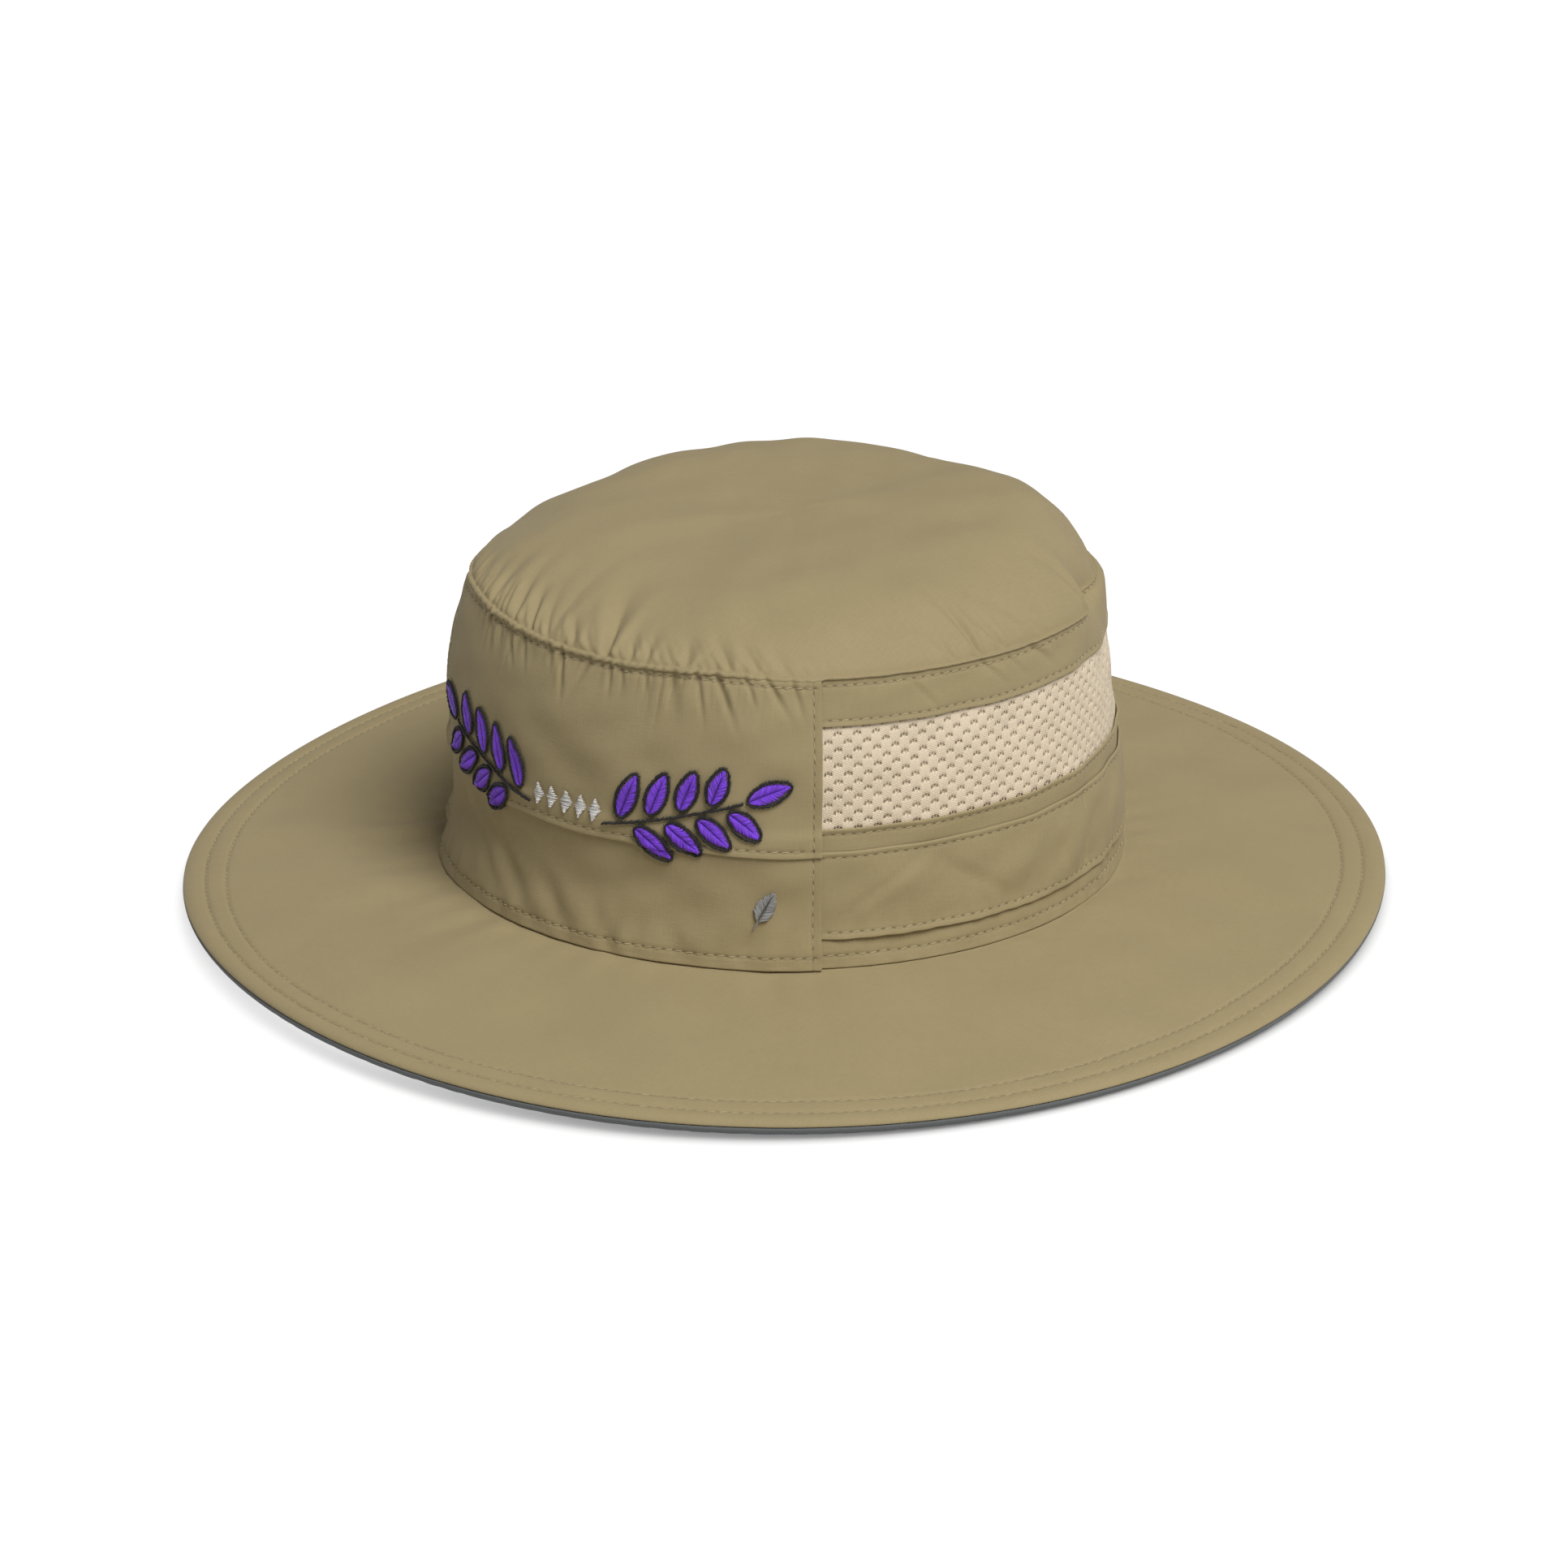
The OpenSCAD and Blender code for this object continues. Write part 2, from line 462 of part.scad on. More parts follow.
module band_tack_thread() { color(thread_c) beads([for (t = [tack_angle, 360 - tack_angle]) column(t, band_low + 2.8, band_high - 2.6)]); }

// ---- embroidery -----------------------------------------------------------
// Sprigs are drawn in the front panel's plane: x out from its middle, y up the wall
function panel(x, y, w) = let (t = arc_deg(x, arc_deg(x / 2, 0))) [y, t, w];
sprig_x = 14;                       // where each sprig starts
sprig_y = 36;
sprig_lean = 10;                    // its slope
function stem(d) = [sprig_x + d * cos(sprig_lean), sprig_y + d * sin(sprig_lean) + 3 * pow(d / 40, 2)];
// Leaves: [base, direction, length] along the stem, and one at its end
leaf_gap = 1.5;
function sprig_leaves() = concat(
    [for (i = [0 : leaf_pairs - 1], up = [-1, 1]) let (d = 3 + i * leaf_step + (up > 0 ? 0 : leaf_step / 2), k = sprig_lean + 7)
        [stem(d) + leaf_gap * [cos(k + up * 90), sin(k + up * 90)], k + up * 52, leaf_len * (1 - 0.06 * i)]],
    [[stem(3 + leaf_pairs * leaf_step + 1.2), sprig_lean + 12, leaf_len]]);
function leaf_half(u, w) = 0.12 + w / 2 * pow(sin(180 * u), 0.8) * (1.15 - 0.3 * u);
// Centre line and outline of one leaf, mirrored for side -1
function leaf_mid(l, side) = [for (i = [0 : 6]) let (u = i / 6, p = l[0] + (0.8 + u * (l[2] - 1.6)) * [cos(l[1]), sin(l[1])])
    panel(side * p[0], p[1], leaf_half(u, leaf_wid))];
outline_gap = 0.75;
function leaf_edge(l, side) = [for (i = [0 : 10]) let (w = i / 10, u = w < 0.5 ? 2 * w : 2 - 2 * w, e = w < 0.5 ? 1 : -1,
    f = [cos(l[1]), sin(l[1])], g = [-sin(l[1]), cos(l[1])],
    p = l[0] + u * (l[2] + 0.6) * f + e * (i == 0 || i == 10 ? 0.35 : i == 5 ? 0 : leaf_half(u, leaf_wid) + outline_gap) * g)
    panel(side * p[0], p[1], 0.35)];
module embroidery_leaves() {
    color([0.42, 0.22, 0.72]) beads([for (side = [-1, 1], l = sprig_leaves()) leaf_mid(l, side)], stitch_h, stitch_lift);
}
module embroidery_outlines() {
    last = 3 + leaf_pairs * leaf_step;
    color([0.08, 0.08, 0.08]) beads(concat(
        [for (side = [-1, 1], l = sprig_leaves()) leaf_edge(l, side)],
        [for (side = [-1, 1]) [for (d = [-2 : 3 : last]) let (p = stem(d)) panel(side * p[0], p[1], 0.4)]]), stitch_h, stitch_lift);
}
seed_step = 4.6;
module embroidery_seeds() {
    color("white") beads([for (i = [0 : seeds - 1]) let (x = (i - (seeds - 1) / 2) * seed_step, y = sprig_y + 2.5)
        [for (k = [-2 : 2]) panel(x, y + k * 1.5, 0.15 + 0.85 * (2 - abs(k)))]], stitch_h, stitch_lift);
}
small_leaf = [56, 11];              // foot of the small grey leaf
small_len = 12;
small_wid = 5;
module embroidery_small_leaf() {
    stalk = 2.5; dir = [cos(62), sin(62)];
    color([0.62, 0.62, 0.62]) beads([
        [for (k = [0 : 2]) let (p = small_leaf + k / 2 * stalk * dir) panel(p[0], p[1], 0.35)],
        [for (k = [0 : 6]) let (p = small_leaf + (stalk + 0.4 + k / 6 * (small_len - stalk)) * dir) panel(p[0], p[1], leaf_half(k / 6, small_wid))]],
        stitch_h, stitch_lift);
}
module embroidery_backing() {
    o = -0.05; i = o - label_t; up = heights(18, 60);
    color("white") swept_strip([for (s = up) [WALL, s, o]], [for (s = up) [WALL, s, i]], arc(-side_from + 4, side_from - 4));
}

crown_tip();
crown_front_upper();
crown_front_lower();
crown_yoke();
crown_mesh();
crown_back_base();
cord_tunnel_band();
tip_seam_tape();
front_seam_tape_left();
front_seam_tape_right();
brim_top_cloth();
brim_core();
brim_under_cloth();
sweatband_cover();
sweatband_foam();
size_label();
care_label();
cord_eyelets();
brim_outer_thread();
brim_inner_thread();
base_seam_thread();
tip_seam_thread();
front_seam_thread();
front_split_thread();
yoke_thread();
mesh_lower_thread();
band_top_thread();
band_bottom_thread();
band_tack_thread();
embroidery_leaves();
embroidery_outlines();
embroidery_seeds();
embroidery_small_leaf();
embroidery_backing();
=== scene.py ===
import json
import math

import bpy
import numpy as np
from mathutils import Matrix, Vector


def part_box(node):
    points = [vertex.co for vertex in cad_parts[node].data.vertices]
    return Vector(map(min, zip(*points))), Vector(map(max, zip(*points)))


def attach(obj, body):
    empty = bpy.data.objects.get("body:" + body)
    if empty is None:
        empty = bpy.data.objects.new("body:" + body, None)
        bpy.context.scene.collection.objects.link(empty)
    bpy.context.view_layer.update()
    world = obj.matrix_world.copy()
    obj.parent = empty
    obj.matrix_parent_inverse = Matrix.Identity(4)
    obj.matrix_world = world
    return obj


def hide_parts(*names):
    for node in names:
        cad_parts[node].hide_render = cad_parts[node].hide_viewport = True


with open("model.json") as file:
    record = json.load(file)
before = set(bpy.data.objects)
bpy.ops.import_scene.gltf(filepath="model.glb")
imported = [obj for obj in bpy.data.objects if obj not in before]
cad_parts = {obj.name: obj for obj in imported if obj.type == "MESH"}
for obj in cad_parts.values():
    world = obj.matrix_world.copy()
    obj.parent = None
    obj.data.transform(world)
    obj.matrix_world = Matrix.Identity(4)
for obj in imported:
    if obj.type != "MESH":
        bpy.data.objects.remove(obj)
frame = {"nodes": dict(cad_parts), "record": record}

bl_info = {
    "name": "Boonie Hat",
    "version": (1, 0, 0),
    "blender": (4, 5, 0),
    "location": "View3D > Sidebar > Boonie Hat",
    "description": "Sews the cloths, mesh, threads and fittings of a boonie hat around its packed frame",
    "category": "Add Mesh",
}

MM = 0.001
BODY = "root"
LOW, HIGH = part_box("brim_under_cloth")
BRIM_BOX = HIGH - LOW


# ---- sizes and colours ------------------------------------------------------
def length(name, description, mm):
    """A size in metres, given here in millimetres."""
    return bpy.props.FloatProperty(
        name=name, description=description, default=mm * MM, unit="LENGTH", precision=5
    )


def screen_colour(name, description, red, green, blue):
    """A colour given by its values on a screen, kept as the linear values that a shader takes."""
    linear = [((c / 255 + 0.055) / 1.055) ** 2.4 for c in (red, green, blue)]
    return bpy.props.FloatVectorProperty(
        name=name, description=description, default=linear, subtype="COLOR", min=0, max=1
    )


class HatSizes(bpy.types.PropertyGroup):
    """The hat's sizes. They repeat the frame's, so a change is made there first."""

    brim_l: length("Brim length", "Front-to-back length of the brim", BRIM_BOX.y / MM)
    brim_w: length("Brim width", "Side-to-side width of the brim", BRIM_BOX.x / MM)
    brim_t: length("Brim thickness", "Thickness of the whole brim", 4.2)
    brim_arch: length("Brim arch", "Rise of the brim's middle above a straight line", 1.5)
    wave_tilt: length("Edge tilt", "Height of the one-sided tilt of the brim's edge", 1.7)
    wave_two: length("Two-crest wave", "Height of the edge's two-crest wave", 0.7)
    wave_three: length("Three-crest wave", "Height of the edge's three-crest wave", 1.7)
    wave_four: length("Four-crest wave", "Height of the edge's four-crest wave", 0.7)
    row_outer: length("Outer row", "Outer row of brim stitches, from the edge", 6.5)
    row_inner: length("Inner row", "Inner row of brim stitches, from the edge", 12.5)
    crown_l: length("Crown length", "Front-to-back length of the crown at the brim", 205)
    crown_w: length("Crown width", "Side-to-side width of the crown at the brim", 188)
    crown_back: length("Crown set back", "Distance of the crown's centre behind the brim's", -0.5)
    crown_z: length("Crown foot height", "Height of the crown's lower fold above the floor", 11.4)
    crown_tilt: length("Crown foot tilt", "Extra height of that fold at the front", 4.4)
    wall_h: length("Wall height", "Height of the crown's side wall", 78)
    tip_l: length("Top length", "Front-to-back length at the tip seam", 187)
    tip_w: length("Top width", "Side-to-side width at the tip seam", 166)
    tip_back: length("Top set back", "Distance of the tip seam's centre behind the brim's", 2.6)
    tip_tilt: length("Top tilt", "Extra height of the tip seam at the front", 7.2)
    dome_h: length("Dome rise", "Rise of the top's centre above its seam", 21)
    waist: length("Waist", "Depth of the wall's waist above the brim", 2.2)
    shoulder: length("Shoulder", "Swell of the wall below the tip seam", 3)
    front_split: length("Front split", "Height of the seam across the front panel", 31)
    mesh_low: length("Vent foot", "Height of the mesh vent's lower edge", 38)
    yoke_h: length("Yoke", "Height of the yoke over the mesh vent", 12.4)
    band_low: length("Band foot", "Height of the cord band's lower fold", 8)
    band_high: length("Band head", "Height of the cord band's upper fold", 32)
    band_puff: length("Band swell", "Swell of the cord band over its tunnel", 1.2)
    allowance: length("Seam allowance", "Height of the seam allowances inside the crown", 8)
    cloth_t: length("Cloth", "Thickness of the woven cloth", 0.4)
    mesh_t: length("Mesh", "Thickness of the mesh", 0.6)
    ply_gap: length("Ply gap", "Gap between neighbouring plies", 0.2)
    foam_t: length("Sweatband foam", "Thickness of the sweatband's foam", 1.5)
    sweat_h: length("Sweatband height", "Height of the sweatband", 35)
    tape_t: length("Tape", "Thickness of the seam tape", 0.35)
    label_t: length("Label", "Thickness of the blank labels", 0.3)
    stitch_len: length("Stitch", "Length of one stitch of the seams", 3)
    thread_d: length("Thread", "Thickness of the sewing thread", 0.28)
    strand_d: length("Embroidery strand", "Width of one embroidery strand", 0.42)
    leaf_len: length("Leaf length", "Length of one stitched leaf", 13)
    leaf_wid: length("Leaf width", "Width of one stitched leaf", 4.6)
    leaf_step: length("Leaf step", "Distance between leaves along the sprig", 9)
    vent_pitch: length("Vent pitch", "Distance between clusters of holes round the vent", 6.1)
    vent_row: length("Vent row", "Height of one row of clusters", 2.22)


class HatColours(bpy.types.PropertyGroup):
    """The hat's colours."""

    khaki: screen_colour("Khaki cloth", "Outside cloth of the crown and brim", 166, 151, 114)
    cream: screen_colour("Vent mesh", "Knitted mesh of the vent", 234, 218, 193)
    # The vent back's colour is the mesh cream darkened: painted shade.
    shaded: screen_colour("Vent mesh back", "Inner face of the vent's knit", 212, 196, 170)
    charcoal: screen_colour("Under cloth", "Cloth under the brim", 106, 109, 110)
    sweat: screen_colour("Sweatband", "Wicking cloth of the sweatband", 84, 92, 95)
    tape: screen_colour("Seam tape", "Twill tape over the inner seams", 74, 78, 79)
    foam: screen_colour("Foam", "Foam of the brim and sweatband", 228, 226, 216)
    label: screen_colour("Labels", "Blank woven labels", 236, 235, 230)
    backing: screen_colour("Backing", "Non-woven backing of the embroidery", 232, 231, 226)
    thread: screen_colour("Sewing thread", "Thread of the seams", 186, 172, 134)
    purple: screen_colour("Purple thread", "Embroidered leaves", 132, 68, 234)
    black: screen_colour("Black thread", "Embroidered outlines", 17, 17, 18)
    white: screen_colour("White thread", "Embroidered diamonds", 226, 226, 226)
    grey: screen_colour("Grey thread", "Small embroidered leaf", 150, 151, 152)
    metal: screen_colour("Eyelets", "Antiqued metal of the eyelets", 120, 112, 98)
    floor: screen_colour("Floor", "Floor under the hat", 212, 212, 212)


# ---- form -------------------------------------------------------------------
MAP_RADIUS = 98  # radius of the crown, about, for the cloth maps
SIDE_RADIUS = 94  # radius of the crown at its sides
ROW_MAP = 100.0  # a height in the map of rows is in tenths of a metre


def sin(t):
    return np.sin(np.radians(t))


def cos(t):
    return np.cos(np.radians(t))


def ramp(x):
    return np.clip(x, 0, 1)


def smooth(x):
    x = ramp(x)
    return x * x * (3 - 2 * x)


def spow(x, n):
    return np.sign(x) * np.abs(x) ** n


def gather(wave):
    """Turns a smooth wave into gathers: round swells between sharp valleys."""
    return np.abs(wave) ** 0.8 - 0.55


def rumple(x, y, low, high, seed, turn=False):
    """Unevenness of about unit height, as crossing waves of the given lengths.

    With turn, x is an angle, and the waves close on themselves.
    """
    draw = np.random.default_rng(seed)
    total = 0.0
    for _ in range(12):
        k = 360 / np.exp(draw.uniform(math.log(low), math.log(high)))
        way, phase = draw.uniform(0, math.pi), draw.uniform(0, 360)
        kx, ky = k * math.cos(way), k * math.sin(way)
        if turn:
            kx = round(kx * MAP_RADIUS * 2 * math.pi / 360)
        total = total + cos(kx * x + ky * y + phase)
    return total / 2.6


def bell(x):
    return np.exp(-x * x)


def turned(t):
    """Angles as -180 to 180."""
    return (np.asarray(t, float) + 180) % 360 - 180


def hum(t, low, high, seed):
    """A smooth uneven wave round the hat, of unit height, with low to high crests in a turn."""
    draw = np.random.default_rng(seed)
    crests = np.arange(low, high + 1)
    phases, sizes = draw.uniform(0, 360, len(crests)), draw.uniform(0.5, 1, len(crests))
    total = sum(a * cos(k * t + p) for k, p, a in zip(crests, phases, sizes))
    return total / np.sqrt((sizes**2).sum() / 2) / 1.6


SEAM = 45  # angle of each front seam
LAP = 5  # the side plies run on under the front panel
TACK = 100  # angle of the band's tack
COLUMN = SEAM - 1.4  # angle of the stitches that run up beside each front seam
PUNCH_R = 2.75  # radius of the hole punched for each eyelet
RIDGE = 1.1  # height of the tip seam's roll
ROLL = 0.2  # how far a folded edge stands proud
SPLIT_LAP = 5  # overlap of the two front panels
COLLAR_MID = 4  # height where the plies in the crown's foot bend
DOME_POWER = 5.5
DOME_LEAN = -0.4
EDGE_SEAM = 2.8  # height of the seam line round the brim's edge
PINCH = 115  # angle where the tip seam is pushed in
# Rises of the tip seam above its plain curve: angle, half width in degrees, height in mm
SEAM_RISES = ((-38, 24, 3.4), (24, 13, 1.5), (92, 16, -0.7), (143, 20, 2.8))

# Drag folds of the dome: angle at the seam, lean in degrees, reach as a share of the radius,
# width in degrees, depth in mm
DOME_FOLDS = (
    (-58, -3, 0.08, 1.8, 0.4),
    (-50, -4, 0.10, 1.6, 0.5),
    (-43, -5, 0.10, 1.4, 0.6),
    (-37, -5, 0.09, 1.3, 0.6),
    (-30.5, -5, 0.10, 1.2, 0.6),
    (-26.5, -6, 0.14, 1.3, 0.9),
    (-17.5, -9, 0.18, 1.3, 0.9),
    (-12, -7, 0.12, 0.9, 1.1),
    (-8, -6, 0.12, 1.0, 0.6),
    (-7.5, -5, 0.28, 1.5, 0.45),
    (-1.5, -4, 0.08, 0.8, 0.9),
    (4.2, -4, 0.19, 1.3, 1.9),
    (9, -1.5, 0.08, 0.8, 0.7),
    (12.2, -1, 0.09, 0.8, 0.6),
    (20, -1, 0.09, 1.2, 0.7),
    (28.5, -5, 0.12, 1.3, 0.7),
    (34, -5, 0.10, 1.2, 0.5),
    (39, -3, 0.08, 1.2, 0.4),
    (71.6, -4, 0.10, 0.9, 0.5),
    (77, -3, 0.20, 0.9, 0.9),
    (82.8, -4, 0.12, 0.9, 0.7),
    (92, -6, 0.12, 1.2, 0.5),
    (109, -3, 0.16, 1.2, 0.7),
    (128, 5, 0.16, 2.4, 0.4),
    (150, -6, 0.16, 2.4, 0.4),
    (172, 7, 0.20, 2.8, 0.5),
    (196, -8, 0.18, 2.4, 0.4),
    (214, 6, 0.22, 2.6, 0.4),
    (236, 8, 0.20, 2.4, 0.4),
    (250, -4, 0.17, 2.2, 0.4),
    (266, 3, 0.15, 2.2, 0.4),
    (282, -4, 0.15, 2.0, 0.4),
    (294, -5, 0.14, 1.8, 0.5),
)
# Soft dents of the wall, or swells where the depth is below zero: angle, height, lean in degrees per mm,
# half width in degrees, half height in mm, depth in mm
WALL_DENTS = (
    (-24, 75, -0.30, 0.8, 5, 0.6),
    (-20.5, 75, -0.30, 0.5, 3, 0.4),
    (-16.8, 74, -0.33, 0.6, 4, 0.7),
    (-13, 75, -0.22, 0.55, 4, 0.7),
    (-6.4, 76, -0.18, 0.6, 4, 0.5),
    (-3.4, 74.5, -0.12, 0.5, 6, 1.0),
    (0.8, 75, 0.22, 0.5, 4.5, 0.7),
    (5.6, 75, -0.05, 0.45, 4, 0.7),
    (7.9, 76, -0.08, 0.5, 3.5, 0.7),
    (12.5, 75.5, -0.1, 0.5, 3.5, 0.5),
    (18, 73.5, -0.07, 1.2, 6, 0.8),
    (22.8, 74, -0.14, 0.5, 6, 0.7),
    (27, 74, -0.3, 0.7, 6, 1.0),
    (32, 75, -0.3, 0.5, 4, 0.5),
    (36.3, 75, -0.43, 0.7, 5, 0.7),
    (40.5, 74, -0.2, 0.6, 5, 0.5),
    (-15, 13, -0.8, 3.0, 11, 0.9),
    (-25, 17, -0.7, 2.8, 11, 0.9),
    (-2, 9, -0.45, 2.4, 8, 0.7),
    (-34, 24, -0.5, 2.6, 12, 0.7),
    (8, 6, -0.3, 1.8, 6, 0.45),
    (21, 6, -0.3, 2.0, 5, 0.4),
    (33, 6, 0.4, 1.6, 5, 0.4),
    (-18, 60, 0.3, 5.0, 9, 0.6),
    (-2, 50, -0.5, 5.0, 10, 0.5),
    (16, 56, -0.3, 6.0, 9, 0.5),
    (36, 50, 0.1, 4.0, 14, 0.4),
    (38, 21, 0.0, 15.0, 13, -1.2),
    (56, 22, 0.9, 1.8, 8, 0.35),
    (72, 20, -0.9, 2.0, 7, 0.3),
    (64.5, 72, -0.6, 0.7, 3.5, 0.4),
    (79.3, 74.2, -0.65, 0.7, 3.2, 0.6),
    (85, 74, -0.6, 0.6, 3, 0.4),
    (90.6, 74.7, -0.65, 0.8, 3.5, 0.7),
    (120, 40, 0.5, 5.0, 16, 0.7),
    (150, 30, -0.5, 4.5, 14, 0.6),
    (186, 48, 0.3, 5.5, 16, 0.7),
    (215, 34, -0.4, 4.0, 14, 0.6),
    (245, 50, 0.5, 5.0, 15, 0.7),
    (283, 30, -0.5, 4.5, 14, 0.6),
    (305, 55, 0.4, 4.0, 12, 0.6),
)


class HatForm:
    """The hat's master curves.

    Heights, offsets and points are in millimetres, and angles run in degrees from the front towards +X.
    """

    def __init__(self, sizes):
        for key in HatSizes.__annotations__:
            setattr(self, key, getattr(sizes, key) / MM)
        c, g = self.cloth_t, self.ply_gap
        self.mesh_high = self.wall_h - self.yoke_h
        self.brim_run = (self.brim_l - self.crown_l) / 2
        self.side_in, self.hem_in = -c, -2 * c
        self.mesh_out = -c - g
        self.mesh_in = self.mesh_out - self.mesh_t
        self.flange_out, self.flange_in = -c - g, -2 * c - g
        self.tape_out = self.mesh_in - g
        self.tape_in = self.tape_out - self.tape_t
        self.collar_out = self.hem_in - g
        self.collar_in = self.collar_out - c
        self.under_out = self.collar_in - g
        self.under_in = self.under_out - c
        self.sweat_out = min(self.under_in, self.tape_in) - g
        self.sweat_in = self.sweat_out - self.foam_t - 2 * c - 2 * g
        self.front_in, self.front_out = g, g + c
        self.lap_out = self.front_out + g + c
        self.band_in, self.band_out = g, g + c
        self.front_rise = self.band_out + ROLL
        self.hem_s = self.band_low - 1
        self.side_from = SEAM - LAP
        rest = 1 - 4 / self.brim_run
        spots = np.arange(60) * 6.0
        under = (self.base_z(spots) - self.brim_t - g) * (1 - rest) + self.waves(spots) * rest
        self.edge_low = (under + self.brim_arch * sin(180 * rest)).min() / rest
        self.set_rows()

    def set_rows(self):
        """The rows of stitches: height or distance, first and last angle, and stitches in a full turn."""
        turn = np.arange(0, 360.0, 1)

        def count(place, a, o):
            ring = place(np.full(360, float(a)), np.full(360, float(o)), turn)
            return int(round(np.linalg.norm(ring - np.roll(ring, 1, 0), axis=1).sum() / self.stitch_len))

        self.rows, side = {}, (SEAM + 0.6, 360 - SEAM - 0.6)
        for name, s, spans in (
            ("base_seam", 3.5, ((-SEAM + 1, SEAM - 1), side)),
            ("tip_seam", self.wall_h - 1.8, ((-SEAM + 1, SEAM - 1), side)),
            ("front_split", self.front_split + 2, ((-SEAM + 3, SEAM - 3),)),
            ("yoke", self.mesh_high + 1.6, (side,)),
            ("mesh_lower", self.mesh_low - 1.6, (side,)),
            ("band_top", self.band_high - 1.6, (side,)),
            ("band_bottom", self.band_low + 1.8, (side,)),
        ):
            self.rows[name] = (s, spans, count(self.plain_wall, s, 0))
        for name, inset in (("brim_outer", self.row_outer), ("brim_inner", self.row_inner)):
            a = self.brim_run - inset
            self.rows[name] = (a, ((0, 360),), count(self.plain_brim, a, self.brim_t))

    # the plain curves, as the frame has them
    def base_z(self, t):
        return self.crown_z + self.crown_tilt * cos(t) + 0.4 * cos(2 * t)

    def tip_z(self, t):
        return self.crown_z + self.wall_h + self.tip_tilt * cos(t) - cos(2 * t)

    def waves(self, t):
        return (
            self.wave_tilt * cos(t + 64)
            + self.wave_two * cos(2 * t - 20)
            + self.wave_three * cos(3 * t + 35)
            + self.wave_four * cos(4 * t - 200)
        )

    def base(self, t):
        return np.stack(
            [self.crown_w / 2 * sin(t), self.crown_back - self.crown_l / 2 * cos(t), self.base_z(t)], -1
        )

    def tip(self, t):
        x, y = spow(sin(t), 0.92), spow(cos(t), 0.92)
        return np.stack([self.tip_w / 2 * x, self.tip_back - self.tip_l / 2 * y, self.tip_z(t)], -1)

    def edge(self, t):
        return np.stack(
            [self.brim_w / 2 * sin(t), -self.brim_l / 2 * cos(t), self.waves(t) - self.edge_low], -1
        )

    def outward(self, t):
        v = np.stack([sin(t) / self.crown_w, -cos(t) / self.crown_l, 0 * t], -1)
        return v / np.linalg.norm(v, axis=-1, keepdims=True)

    def swell(self, u, t):
        k = 0.5 + 0.5 * cos(t + 53)
        low = -self.waist * (0.3 + 0.7 * k) * sin(180 * ramp(u / 0.45)) ** 2
        return low + self.shoulder * (0.15 + 0.85 * k) * sin(180 * ramp((u - 0.35) / 0.65) ** 1.3)

    def plain_wall(self, s, o, t):
        s, o, t = np.broadcast_arrays(*(np.asarray(x, float) for x in (s, o, t)))
        u = (s / self.wall_h)[..., None]
        return (
            self.base(t) * (1 - u) + self.tip(t) * u
            + self.outward(t) * (self.swell(u[..., 0], t) + o)[..., None]
        )

    def plain_brim(self, a, h, t):
        a, h, t = np.broadcast_arrays(*(np.asarray(x, float) for x in (a, h, t)))
        v = a / self.brim_run
        p = self.base(t) * (1 - v)[..., None] + self.edge(t) * v[..., None]
        p[..., 2] += (v - 1) * (self.brim_t + self.ply_gap) + self.brim_arch * sin(180 * ramp(v)) + h
        return p

    # how the cloth lies on those curves
    def groove(self, s, t, names, depth=0.2, width=0.7):
        """How far rows of stitches draw the cloth in, a little deeper where the needle went through."""
        total, side = 0.0, turned(t)
        for name in names:
            at, spans, n = self.rows[name]
            inside = 0
            for lo, hi in spans:
                around = side if lo < 0 else np.mod(side, 360)
                inside = inside + ((around >= lo) & (around <= hi))
            total = total - depth * inside * bell((s - at) / width) * (0.8 + 0.2 * cos(n * t))
        return total

    def gathers(self, t):
        """How strongly the tip seam is gathered: most at the front left, least at the right."""
        side = turned(t)
        return 0.2 + 0.8 * bell((side + 4) / 34) + 0.4 * bell((np.mod(side, 360) - 200) / 60)

    def drape(self, s, t):
        """How far the crown's wall lies out from its plain curve."""
        side = turned(t)
        below = self.wall_h - s
        reach = 6.5 + 4 * hum(t, 14, 34, 5)
        pucker = 0.8 * self.gathers(t) * gather(hum(t + 0.05 * below, 56, 116, 7))
        out = pucker * bell(np.maximum(below, 0) / np.maximum(reach, 2.5)) * smooth((below + 3) / 4)
        foot = 0.16 * hum(t - 0.1 * s, 55, 100, 11) * bell((s - 2) / 9)
        out = out + foot * smooth((s + 1) / 3)
        out = out + 0.2 * rumple(t, s, 10, 34, 15, True) * smooth(s / 6) * smooth((below - 1) / 5)
        out = out + 0.2 * hum(t, 4, 13, 13) * sin(180 * ramp(s / self.wall_h)) ** 0.7
        for angle, height, lean, wide, tall, deep in WALL_DENTS:
            d = turned(side - angle - lean * (s - height))
            out = (
                out
                - deep * (bell(d / wide) - 0.35 * bell((d - 1.9 * wide) / wide)) * bell((s - height) / tall)
            )
        out = out + self.groove(s, t, ("base_seam", "tip_seam", "front_split", "yoke", "mesh_lower"))
        drags = bell((np.abs(side) - SEAM + 1.6) / 2.4) * smooth((s - 36) / 4) * smooth((66 - s) / 4)
        out = out + 0.2 * drags * gather(cos(360 * s / 3.5 + 50 * sin(360 * s / 17) + 3 * side))
        column = np.abs(np.abs(side) - COLUMN) * math.pi / 180 * SIDE_RADIUS
        return out - 0.18 * bell(column / 0.7) * smooth((s - 2) / 4) * smooth((self.wall_h - s) / 4)

    def wall(self, s, o, t):
        s, o, t = np.broadcast_arrays(*(np.asarray(x, float) for x in (s, o, t)))
        return self.drawn_wall(s, o, t, self.drape(s, t) * ramp((o + 4) / 2.4))

